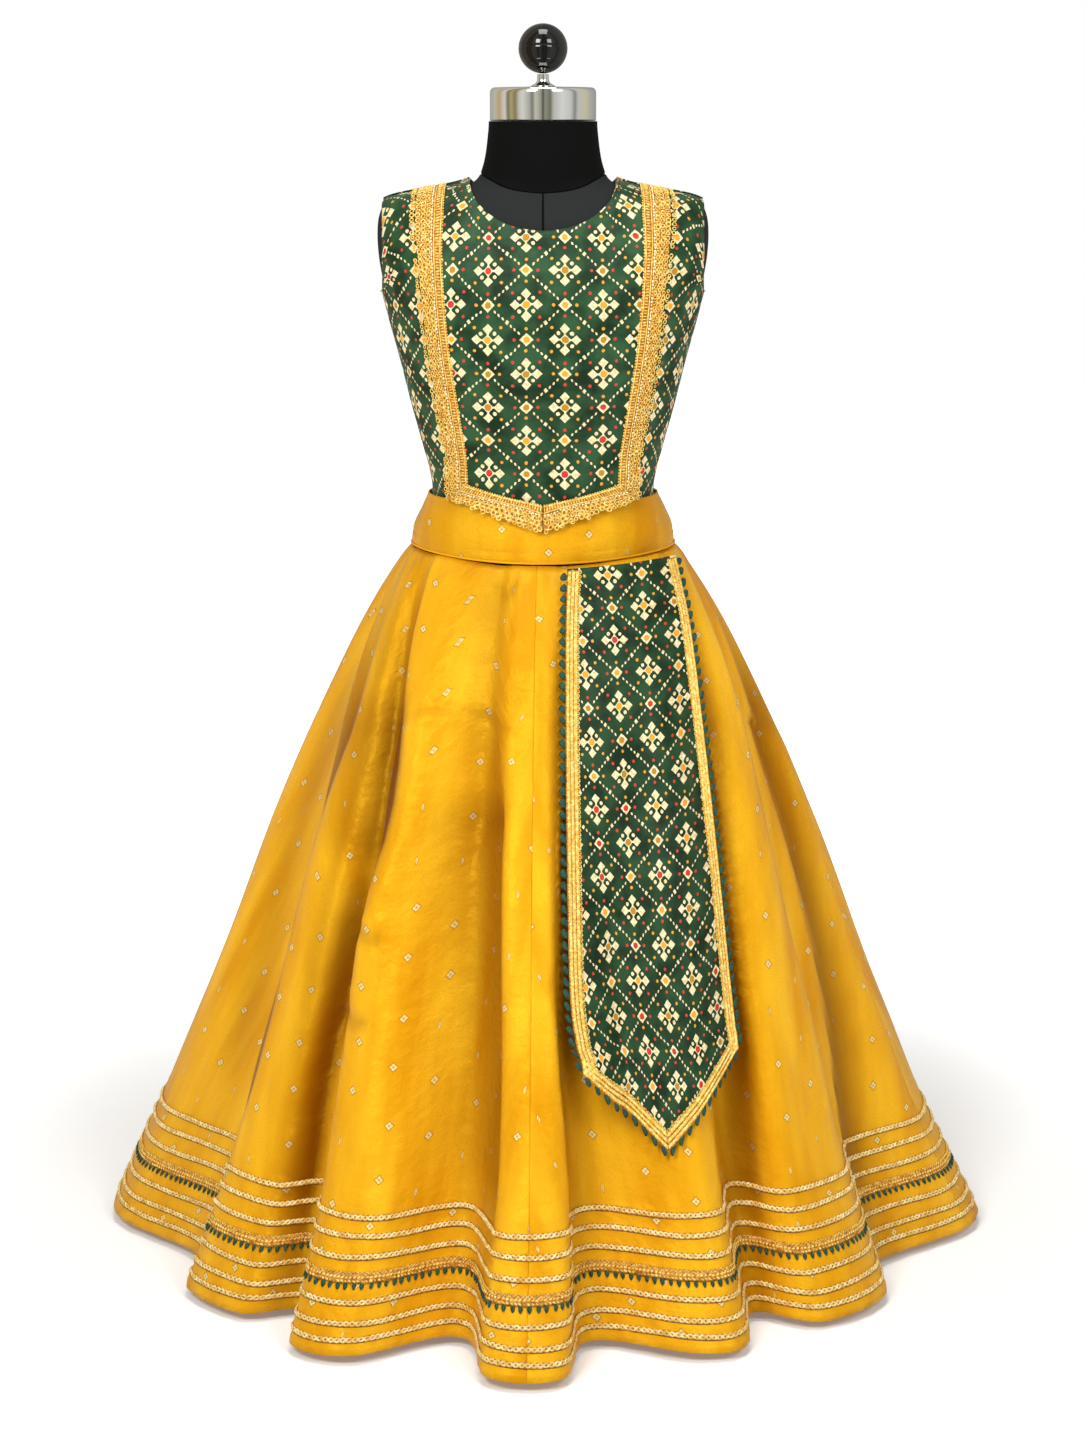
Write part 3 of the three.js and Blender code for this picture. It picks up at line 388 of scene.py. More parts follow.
def addForm(material):
    seam, middle = form["neckSeam"], form["frontSeam"]
    angle = np.linspace(-math.pi, math.pi, form["steps"] + 1)
    near = np.radians(middle["extra"])
    angle = np.sort(np.concatenate([angle, near, -near]))
    rows = np.linspace(0, formTable[-1, 0], form["rows"])
    base = positionAt(seam["front"])
    beside = np.array(seam["extra"])
    rows = np.sort(np.concatenate([rows, base - beside, [base], base + beside]))
    a, row = np.meshgrid(angle, rows)
    # rows near the neck's seam follow it round
    rise = seam["side"] * np.where(np.cos(a) > 0, np.abs(np.sin(a)) ** seam["sideCurve"], 1) \
        + seam["back"] * np.minimum(np.cos(a), 0) ** 2
    far = formTable[-1, 0] - base
    pull = np.where(row < base, 1 - smoothStep(base - row, 0, seam["pullBelow"]),
                    1 - smoothStep(row - base, seam["pullAbove"], far))
    shift = positionAt(seam["front"] + rise) - base
    position = row + shift * pull
    dent = -seam["depth"] * np.exp(-((row - base) / seam["width"]) ** 2)
    heights = sectionAt(position)[0]
    dent -= middle["depth"] * np.exp(-(np.degrees(a) / middle["width"]) ** 2) * (heights < seam["front"])
    points = lifted(a, position, dent)
    # the cloth's second coordinate tells the neck, above its seam, from the torso
    uv = np.stack([a * 100, (row - base) * 1000], -1)
    mesh = meshFromGrids("form_body", [points], [uv], join=True)
    return addPiece("form_body", mesh, material, ["form_torso"])


fittings = {
    "form_cap": {"node": "form_neck_cap", "slot": "chrome", "steps": 96, "profile": [
        (0, 934.35), (42.6, 934.35), (43.2, 934.6), (43.4, 935.2), (43.4, 956), (43.2, 957.9),
        (42.6, 959.4), (41.6, 960.4), (40.2, 960.9), (38, 961), (0, 961)]},
    "form_neck_stem": {"node": "form_stem", "slot": "chrome", "steps": 48, "profile": [
        (0, 961.3), (9.7, 961.3), (10, 961.6), (9.9, 962.1), (9, 962.9), (7.2, 963.7), (5.8, 964.7),
        (5.1, 966.2), (4.8, 968), (4.8, 971.3), (4.5, 971.5), (0, 971.5)]},
    "form_top_ball": {"node": "form_ball", "slot": "ball_gloss", "steps": 64, "profile": [
        (20 * math.cos(math.radians(t)) - (0.35 if abs(t - 7.5) < 0.1 else 0),
         992 + 20 * math.sin(math.radians(t)))
        for t in [-90, *range(-84, 6, 6), 6.3, 7.5, 8.7, *range(12, 90, 6), 90]]},
    "form_stand_pole": {"node": "form_pole", "slot": "chrome", "steps": 48, "profile": [
        (0, 18.3), (12.2, 18.3), (12.5, 18.7), (12.5, 555.3), (12.2, 555.7), (0, 555.7)]},
    "form_stand_base": {"node": "form_base", "slot": "base_enamel", "steps": 96, "profile": [
        (0, 0), (128.8, 0), (129.7, 0.4), (130, 1.2), (130, 5.6), (129.4, 7), (128, 8), (126, 8.4),
        (34, 14.7), (29, 15.6), (27.4, 17.2), (26, 18), (0, 18)]},
}


def addFitting(name, spec, material):
    # a profile spun once round the axis
    bm = bmesh.new()
    verts = [bm.verts.new((max(r, 0) * mm, 0, z * mm)) for r, z in spec["profile"]]
    edges = [bm.edges.new(pair) for pair in zip(verts, verts[1:])]
    bmesh.ops.spin(bm, geom=verts + edges, axis=(0, 0, 1), cent=(0, 0, 0), angle=math.tau,
                   steps=spec["steps"], use_merge=True)
    bmesh.ops.remove_doubles(bm, verts=bm.verts, dist=1e-6)
    bmesh.ops.recalc_face_normals(bm, faces=bm.faces)
    mesh = bpy.data.meshes.new(name)
    bm.to_mesh(mesh)
    bm.free()
    piece = addPiece(name, mesh, material, [spec["node"]])
    mesh.set_sharp_from_angle(angle=math.radians(50))
    return piece


# strips and small repeated work
def makeStrip(points, normals, closed=False):
    # a ribbon's own frame: s runs along its rows, w across its columns and h off its face
    if closed:
        points = np.concatenate([points, points[:1]])
        normals = np.concatenate([normals, normals[:1]])
    middle = points.shape[1] // 2
    along = runLengths(points)[:, middle]
    across = runLengths(points, 1).mean(0)
    return {"points": points, "normals": normals, "along": along, "across": across,
            "length": along[-1], "width": across[-1], "closed": closed}


def placeOn(strip, s, w, h):
    s, w, h = np.broadcast_arrays(np.asarray(s, float), w, h)
    if strip["closed"]:
        s = s % strip["length"]
    rows, columns = strip["points"].shape[:2]
    i = np.interp(s, strip["along"], np.arange(rows))
    i = i + np.minimum(s, 0) / strip["along"][1] + np.maximum(s - strip["length"], 0) \
        / (strip["along"][-1] - strip["along"][-2])
    j = np.interp(w, strip["across"], np.arange(columns))
    j = j + np.minimum(w, 0) / strip["across"][1] + np.maximum(w - strip["width"], 0) \
        / (strip["across"][-1] - strip["across"][-2])
    i0 = np.clip(np.floor(i).astype(int), 0, rows - 2)
    j0 = np.clip(np.floor(j).astype(int), 0, columns - 2)
    a, b = (i - i0)[..., None], (j - j0)[..., None]

    def blend(grid):
        low = grid[i0, j0] * (1 - a) + grid[i0 + 1, j0] * a
        high = grid[i0, j0 + 1] * (1 - a) + grid[i0 + 1, j0 + 1] * a
        return low * (1 - b) + high * b
    return blend(strip["points"]) + unit(blend(strip["normals"])) * h[..., None]


def cordGrid(strip, s, w, h, radius, sides=5, flat=1.0, closed=False):
    # a thin cord's skin along a path on the strip; flat under 1 presses it down
    line = placeOn(strip, s, w, h)
    top = unit(placeOn(strip, s, w, h + np.ones_like(s)) - line)
    if closed:
        run = np.roll(line, -1, 0) - np.roll(line, 1, 0)
    else:
        run = np.gradient(line, axis=0)
    side = unit(np.cross(unit(run), top))
    top = np.cross(side, unit(run))
    turn = np.linspace(0, math.tau, sides + 1)
    skin = (line[:, None] + side[:, None] * (radius * np.cos(turn))[:, None]
            + top[:, None] * (flat * radius * np.sin(turn))[:, None])
    return np.concatenate([skin, skin[:1]]) if closed else skin


def repeatOn(strip, seed, s, w, h, turn=0.0, size=1.0):
    # copies of one small seed mesh, each bent onto the strip at its own place
    places = np.array([v.co for v in seed.verts])
    faces = np.array([[v.index for v in f.verts] for f in seed.faces])
    s, w, h, turn, size = [a.ravel()[:, None] for a in np.broadcast_arrays(s, w, h, turn, size)]
    x, y, z = places.T
    spun = (size * (x * np.cos(turn) - y * np.sin(turn)), size * (x * np.sin(turn) + y * np.cos(turn)))
    points = placeOn(strip, s + spun[0], w + spun[1], h + z * size)
    count, corners = points.shape[:2]
    joined = (faces[None] + corners * np.arange(count)[:, None, None]).reshape(-1, faces.shape[1])
    mesh = bpy.data.meshes.new("row")
    mesh.from_pydata((points.reshape(-1, 3) * mm).tolist(), [], joined.tolist())
    return mesh


def ringSeed(radius, thick, around=8, sides=4, flat=0.8):
    # a small crocheted loop
    bm = bmesh.new()
    made = bmesh.ops.create_circle(bm, segments=sides, radius=thick)["verts"]
    for v in made:
        v.co = Vector((radius + v.co.x, 0, v.co.y * flat))
    bmesh.ops.spin(bm, geom=made + bm.edges[:], axis=(0, 0, 1), cent=(0, 0, 0), angle=math.tau,
                   steps=around, use_merge=True)
    bmesh.ops.recalc_face_normals(bm, faces=bm.faces)
    bm.verts.index_update()
    return bm


def beadSeed(length, width, height, point=0.0, segments=6, rings=4):
    # a bead or, with point, a leaf shaped picot whose tip lies towards -y
    bm = bmesh.new()
    bmesh.ops.create_uvsphere(bm, u_segments=segments, v_segments=rings, radius=1)
    for v in bm.verts:
        x, y, z = v.co.z, v.co.x, v.co.y      # the poles lie along x
        if point:
            x, y = y, -x
            x *= 1 - point * (0.5 - 0.5 * y) ** 1.4
        v.co = Vector((x * length / 2, y * width / 2, z * height / 2))
    bmesh.ops.triangulate(bm, faces=[f for f in bm.faces if len(f.verts) != 3])
    bmesh.ops.recalc_face_normals(bm, faces=bm.faces)
    bm.verts.index_update()
    return bm


def joinMeshes(name, meshes):
    bm = bmesh.new()
    for mesh in meshes:
        bm.from_mesh(mesh)
        bpy.data.meshes.remove(mesh)
    joined = bpy.data.meshes.new(name)
    bm.to_mesh(joined)
    bm.free()
    return joined


# choli
choli = {
    "lift": 1.3, "wall": 1.8, "thin": 1.2,     # off the form, solid cloth, shown cloth
    # the pointed hem stands off the waistband: all of its lift below the first height, none
    # above the second
    "flapTip": 604.5, "flapCorner": (63.3, 626), "flapLift": 6.9, "flapFade": (634, 672),
    "flapLaceEnd": (71.3, 58.8),
    "neckHalf": 58.5, "neckFront": 846.5, "neckBack": 868,
    "shoulderHalf": 128.5, "armpit": 797, "armSweep": 20, "armBow": 0.85, "tuck": 614,
    # height and distance from the axis
    "princess": [(600, 58.8), (626, 63.3), (652, 67.4), (680, 71.8), (713, 77), (746, 82),
                 (778, 85.8), (810, 88.6), (845, 90.6), (890, 89)],
    "sideHeights": [614, 620, 626, 636, 652, 673, 697, 722, 747, 771, 793, 813, 831, 846, 858,
                    866, 871.2, 874.8, 876.6],
    "lastRow": 874.8, "shoulderRow": 876.6,
    "laceShoulder": 89.5, "laceWidth": 22, "laceWall": 1.2,
    # the lace turns from running round the form to running straight between these heights
    "laceSquare": (820, 860), "laceLift": 0.3, "laceRise": (0.8, 858, 872),
    # how far the cloth stands off the shoulder's ridge and the shoulder blades: full rise, and
    # the heights between which it grows
    "ridgeRise": (1.3, 845, 870), "bladeRise": (1.2, 780, 830),
    "seamShare": 0.6,         # the side seam's share of the outer edge, under the armhole
    "rows": 84, "centreColumns": 36, "sideColumns": 20, "backColumns": 44,
    "neckShare": 5 / 7,       # the neckline's share of the front panel's top, beside the shoulder
    "edge": 0.002, "laceEdge": 0.004,          # radians kept clear of a seam
}
princessTable = denseTable(choli["princess"])
neckTop = float(sectionAt(ridgeAt(choli["neckHalf"]))[0])
laceTop = float(sectionAt(ridgeAt(choli["laceShoulder"]))[0])


def princessX(height):
    return np.interp(height, princessTable[:, 1], princessTable[:, 2])


def princessSpot(height):
    # the princess line as angle and position; its last millimetre runs to the shoulder's ridge
    last = choli["lastRow"]
    angle, position = frontSpot(princessX(np.minimum(height, last)), np.minimum(height, last))
    share = np.clip((height - last) / (choli["shoulderRow"] - last), 0, 1)
    return (angle + (rightAngle - angle) * share,
            position + (ridgeAt(choli["laceShoulder"]) - position) * share)


def neckPoint(turn, low):
    return choli["neckHalf"] * np.sin(turn), neckTop - (neckTop - low) * np.cos(turn)


def evenTurns(low, share):
    # turns that lie evenly along the neckline, as measured on the form
    turn = np.linspace(0, rightAngle, 800)
    lengths = runLengths(formPoint(*frontSpot(*neckPoint(turn, low))))
    return np.interp(np.asarray(share) * lengths[-1], lengths, turn)


def flapRise(position):
    full, none = choli["flapFade"]
    return (choli["flapLift"] - choli["lift"]) * smoothStep(none - sectionAt(position)[0], 0, none - full)


def outerSpot(share, sweep):
    # the side seam up to the armpit, then the armhole's edge
    low, armpit, seam = positionAt(choli["tuck"]), positionAt(choli["armpit"]), choli["seamShare"]
    top = ridgeAt(choli["shoulderHalf"])
    turn = np.clip((share - seam) / (1 - seam), 0, 1) * math.pi
    position = np.where(share <= seam, low + (armpit - low) * share / seam,
                        armpit + (top - armpit) * (1 - np.cos(turn)) / 2)
    return rightAngle - math.radians(sweep) * np.sin(turn) ** choli["armBow"], position


def coons(left, right, bottom, top, u, v, fade=1.0):
    # a patch between four edges; left, right are rows of v and bottom, top rows of u
    parts = []
    for k in (0, 1):
        side = (1 - u) * left[k][:, None] + u * right[k][:, None]
        low = bottom[k] - (1 - u) * bottom[k][0] - u * bottom[k][-1]
        high = top[k] - (1 - u) * top[k][0] - u * top[k][-1]
        parts.append(side + (1 - v[:, None]) ** fade * low + v[:, None] ** fade * high)
    return parts


def clothPoints(angle, position, lift):
    return lifted(angle, position, lift + riseBetween(choli["ridgeRise"], sectionAt(position)[0]))


def clothUv(points, middle):
    # the cloth's own millimetres: across from one column, and up each column
    across = np.linalg.norm(np.diff(points[..., :2], axis=1), axis=-1)
    lines = np.cumsum(np.pad(across, ((0, 0), (1, 0))), axis=1)
    v = runLengths(points) + points[[0], :, 2]
    return np.stack([lines - lines[:, [middle]], v], -1)


def frontCentre():
    u, v = np.linspace(0, 1, choli["centreColumns"]), np.linspace(0, 1, choli["rows"])
    cornerX, cornerZ = choli["flapCorner"]
    height = cornerZ + (choli["shoulderRow"] - cornerZ) * v
    edge = np.where(height > choli["lastRow"], choli["laceShoulder"], princessX(height))
    right = (edge, np.minimum(height, laceTop))
    left = (np.zeros_like(v), choli["flapTip"] + (choli["neckFront"] - choli["flapTip"]) * v)
    bottom = (cornerX * u, choli["flapTip"] + (cornerZ - choli["flapTip"]) * u)
    neckShare = choli["neckShare"]
    neck = neckPoint(evenTurns(choli["neckFront"], np.minimum(u / neckShare, 1)), choli["neckFront"])
    beyond = (u - neckShare) / (1 - neckShare)
    overX = choli["neckHalf"] + (choli["laceShoulder"] - choli["neckHalf"]) * beyond
    overZ = sectionAt(ridgeAt(overX))[0]
    top = (np.where(u <= neckShare, neck[0], overX), np.where(u <= neckShare, neck[1], overZ))
    x, z = coons(left, right, bottom, top, u, v)
    angle, position = frontSpot(x, z)
    angle = np.minimum(angle, rightAngle - choli["edge"])
    angle = np.concatenate([-angle[:, :0:-1], angle], axis=1)
    position = np.concatenate([position[:, :0:-1], position], axis=1)
    points = clothPoints(angle, position, choli["lift"] + choli["wall"] + flapRise(position))
    return points, clothUv(points, len(u) - 1)


def frontSide(side):
    v, u = np.linspace(0, 1, choli["rows"]), np.linspace(0, 1, choli["sideColumns"])
    heights = np.array(choli["sideHeights"])
    height = np.interp(v * (len(heights) - 1), np.arange(len(heights)), heights)
    left, right = princessSpot(height), outerSpot(v, choli["armSweep"])
    angle, position = [(1 - u) * left[k][:, None] + u * right[k][:, None] for k in (0, 1)]
    angle = np.minimum(angle, rightAngle - choli["edge"])
    if side < 0:
        angle, position = -angle[:, ::-1], position[:, ::-1]
    points = clothPoints(angle, position, choli["lift"] + choli["wall"] - 0.15)
    return points, clothUv(points, 0 if side > 0 else len(u) - 1)


def backPanel(side):
    u, v = np.linspace(0, 1, choli["backColumns"]), np.linspace(0, 1, choli["rows"])
    left = outerSpot(v, -choli["armSweep"])
    right = (np.full_like(v, math.pi), positionAt(choli["tuck"] + (choli["neckBack"] - choli["tuck"]) * v))
    bottom = (rightAngle * (1 + u), np.full_like(u, positionAt(choli["tuck"])))
    # one half of the top follows the neckline and the other half the shoulder
    outward = (1 - u) * 2
    neck = frontSpot(*neckPoint(evenTurns(choli["neckBack"], np.minimum(outward, 1)), choli["neckBack"]))
    over = ridgeAt(choli["neckHalf"] + (choli["shoulderHalf"] - choli["neckHalf"]) * (outward - 1))
    top = (np.where(outward > 1, rightAngle, math.pi - neck[0]), np.where(outward > 1, over, neck[1]))
    angle, position = coons(left, right, bottom, top, u, v, 5)
    angle = np.clip(angle, rightAngle + choli["edge"], math.pi - choli["edge"])
    if side < 0:
        angle, position = -angle[:, ::-1], position[:, ::-1]
    rise = riseBetween(choli["bladeRise"], sectionAt(position)[0])
    points = clothPoints(angle, position, choli["lift"] + choli["wall"] + rise)
    return points, clothUv(points, len(u) - 1 if side > 0 else 0)


def princessStrip(side):
    # the lace's run, from the flap's corner up to the shoulder, w towards the wearer's left:
    # low down it keeps its width round the form, and at the shoulder it keeps it across
    low, top = choli["flapCorner"][1], choli["shoulderRow"]
    height = np.linspace(low, top, 130)
    shift = np.linspace(-0.5, 0.5, 9) * choli["laceWidth"]
    angle, position = princessSpot(height)
    _, wide, front, _ = sectionAt(position)
    scale = np.hypot(wide * np.cos(angle), front * np.sin(angle))
    around = np.minimum(angle[:, None] + shift / scale[:, None], rightAngle - choli["laceEdge"])
    x = princessX(np.minimum(height, choli["lastRow"]))
    ridge = sectionAt(ridgeAt(choli["laceShoulder"] + shift))[0]
    raised = low + (height[:, None] - low) * (ridge - low) / (top - low)
    over = frontSpot(x[:, None] + shift, raised)
    share = smoothStep(height, *choli["laceSquare"])[:, None]
    angles = around * (1 - share) + np.minimum(over[0], rightAngle - choli["laceEdge"]) * share
    positions = position[:, None] * (1 - share) + over[1] * share
    if side < 0:
        angles, positions = -angles[:, ::-1], positions[:, ::-1]
    lift = choli["lift"] + flapRise(positions) + choli["wall"] + choli["laceLift"] \
        + riseBetween(choli["laceRise"], sectionAt(positions)[0])
    points = clothPoints(angles, positions, lift)
    return makeStrip(points, gridNormals(points))


def flapStrip(side):
    # the lace along one side of the pointed hem, w upwards from its edge
    (cornerX, cornerZ), tip = choli["flapCorner"], choli["flapTip"]
    slope = (cornerZ - tip) / cornerX
    share = np.linspace(0, 1, 8)
    low, high = choli["flapLaceEnd"]
    x = 0.3 + (low + (high - low) * share - 0.3) * np.linspace(0, 1, 44)[:, None]
    rise = choli["laceWidth"] * 0.9 * math.hypot(1, slope)
    angle, position = frontSpot(x, tip + slope * x + share * rise - (1 - share) * 0.4)
    if side < 0:
        angle, position = -angle[::-1], position[::-1]
    lift = choli["lift"] + flapRise(position) + choli["wall"] + 1.5 + choli["laceWall"]
    points = clothPoints(angle, position, lift)
    return makeStrip(points, np.swapaxes(gridNormals(np.swapaxes(points, 0, 1)), 0, 1))


# waistband and piping
waist = {
    "seam": 588, "dip": 8, "top": 630, "topDip": 2.5, "lift": 4.1, "wall": 2, "thin": 1.4,
    "stitchAbove": 9.5, "stitchPitch": 3.2, "stitchSize": (2.3, 0.45, 0.4), "piping": 0.95,
    "groove": 0.5, "grooveWidth": 1.3,         # pressed in by the row of stitches
    # unevenness of the band's face; the painted shade over the band and how far a slow wave swings it
    "unevenness": 0.35, "shade": 0.17, "shadeSwing": 0.07,
    "edge": 0.002, "columns": 120, "rows": 22,
}


def waistSeam(angle):
    return waist["seam"] - waist["dip"] * np.maximum(np.cos(angle), 0) ** 2


def bandHalf(front):
    start = -rightAngle if front else rightAngle
    angle = start + np.linspace(waist["edge"], math.pi - waist["edge"], waist["columns"])
    share = np.linspace(0, 1, waist["rows"])[:, None]
    low = waistSeam(angle) + 0.6
    high = waist["top"] - waist["topDip"] * np.maximum(np.cos(angle), 0) ** 2
    z = low + (high - low) * share
    above = z - low
    groove = waist["groove"] * np.exp(-((above - waist["stitchAbove"]) / waist["grooveWidth"]) ** 2)
    soft = waist["unevenness"] * np.sin(7 * angle + above * 0.11) * np.sin(math.pi * share)
    points = lifted(angle[None], positionAt(z), waist["lift"] + waist["wall"] - groove + soft)
    return points, clothUv(points, waist["columns"] // 2)


def waistLine(lift, above=0.0, count=400):
    angle = np.linspace(-math.pi, math.pi, count, endpoint=False)
    z = waistSeam(angle) + above
    rows = np.stack([lifted(angle, positionAt(z + step), lift) for step in (0, 1.5, 3)], 1)
    return makeStrip(rows, gridNormals(np.swapaxes(rows, 0, 1), True).swapaxes(0, 1), closed=True)


# skirt
skirt = {
    # height and flare: 0 at the waist seam, 1 at the hem
    "rings": [(588, 0), (574, 0.045), (546, 0.114), (508, 0.196), (460, 0.283), (402, 0.379),
              (336, 0.482), (262, 0.588), (184, 0.705), (112, 0.812), (58, 0.907), (8, 1)],
    # a fold's two shoulders and their radius at the hem, the valley after it and its radius,
    # and the flare at which that valley opens
    "folds": [(-103, -85, 371, -65, 316, 0), (-55, -43, 353, -37, 316, 0),
              (-31.5, -23.2, 375, -12.5, 314, 0.25), (-6, 2.3, 388, 7, 317, 0.3),
              (19.5, 26, 360, 33, 307, 0.1), (38.5, 51, 353, 63, 316, 0),
              (80, 94, 370, 102, 320, 0.1), (109, 118, 366, 125.5, 318, 0.2),
              (132, 142, 362, 150, 322, 0), (157, 168.5, 372, 176, 320, 0.15),
              (184, 194, 360, 202.5, 318, 0.3), (210, 222, 370, 230, 322, 0),
              (238, 246, 364, 251.5, 325, 0.2)],
    # valleys deepen with this power of the flare, and the folds in front lean by this many
    # degrees at the waist, in waves round it, straightening towards the hem
    "openPower": 0.8, "drift": 27, "driftReach": 100, "driftWaves": 1.8, "driftFade": 2.2,
    "dipFade": 3,             # how fast the waist seam's dip fades downwards
    # gores, from seam to seam, counted in fold corners round the skirt
    "gores": [("front_left", 9.5, 18), ("side_left", 18, 24), ("back_left", 24, 30),
              ("back_right", 30, 36), ("side_right", 36, 42), ("front_right", 42, 48.5)],
    "perCorner": 12, "rowStep": 4.9, "thin": 1.0, "hemReach": 128,
    # a gore's edge turns in at its seam: fold corners from the seam and depth
    "seamTurn": [(0.0, 0.18), (0.02, 0.05), (0.06, 0)],
}
ringTable = denseTable(skirt["rings"])
foldTable = np.array(skirt["folds"], float)
corners = 3 * len(foldTable)


def waistRadius(angle):
    _, side, front, back = sectionAt(positionAt(waistSeam(angle)))
    lift = waist["lift"] + waist["wall"]
    depth = np.where(np.cos(angle) > 0, front, back) + lift
    power = form["fullness"]
    oval = np.abs(np.sin(angle) / (side + lift)) ** power + np.abs(np.cos(angle) / depth) ** power
    return oval ** (-1 / power)


def foldCorners(flare):
    # two shoulders and a valley for each fold, for a column of flares
    start, end, radius, valley, floor, opens = foldTable.T
    depth = np.clip((flare[:, None] - opens) / (1 - opens), 0, 1) ** skirt["openPower"] * (radius - floor)
    angles = np.stack([start, end, valley], 1).ravel()
    angles = np.radians(np.where(angles > 180, angles - 360, angles))
    inward = np.zeros((len(flare), corners))
    inward[:, 2::3] = depth
    reach = math.radians(skirt["driftReach"])
    lean = math.radians(skirt["drift"]) * np.sin(skirt["driftWaves"] * angles) * (np.abs(angles) <= reach)
    turned = angles + lean * (1 - flare[:, None]) ** skirt["driftFade"]
    base = waistRadius(turned)
    r = base + (np.repeat(radius, 3) - base) * flare[:, None] - inward
    return np.stack([r * np.sin(turned), -r * np.cos(turned)], -1)


def skirtPoints(rows, around):
    # rows are fractional ring numbers and around counts fold corners
    height = np.interp(rows, ringTable[:, 0], ringTable[:, 1])
    flare = np.interp(rows, ringTable[:, 0], ringTable[:, 2])
    spots = foldCorners(flare)
    index = np.floor(around).astype(int)
    near = [spots[:, (index + step) % corners] for step in (-1, 0, 1, 2)]
    flat = curveThrough(*near, (around - index)[None, :, None])
    dip = waistSeam(np.arctan2(flat[..., 0], -flat[..., 1])) - waist["seam"]
    drop = dip * (1 - flare[:, None]) ** skirt["dipFade"]
    return np.concatenate([flat, (height[:, None] + drop)[..., None]], -1)


def evenRows():
    # ring numbers from the hem up, evenly spaced down the cloth of three folds
    rows = np.linspace(len(skirt["rings"]) - 1, 0, 2200)
    line = skirtPoints(rows, np.array([3.5, 16.5, 30.5])).mean(1)
    lengths = runLengths(line)
    steps = int(lengths[-1] / skirt["rowStep"])
    return np.interp(np.linspace(0, lengths[-1], steps + 1), lengths, rows)


skirtRows = evenRows()
skirtAround = np.arange(corners * skirt["perCorner"]) / skirt["perCorner"]
skirtBase = skirtPoints(skirtRows, skirtAround)
skirtNormals = gridNormals(skirtBase, True)
slant = runLengths(skirtBase).mean(1)
skirtArcs = runLengths(np.concatenate([skirtBase, skirtBase[:, :1]], 1), 1)


def arcAt(around):
    # how far round each row a fold corner lies, along the cloth
    at = around % corners * skirt["perCorner"]
    low = int(at)
    return skirtArcs[:, low] + (skirtArcs[:, low + 1] - skirtArcs[:, low]) * (at - low)


def arcGap(start, end):
    # the shorter way round from start to end, row by row
    whole = skirtArcs[:, -1:]
    return (end - start + whole / 2) % whole - whole / 2
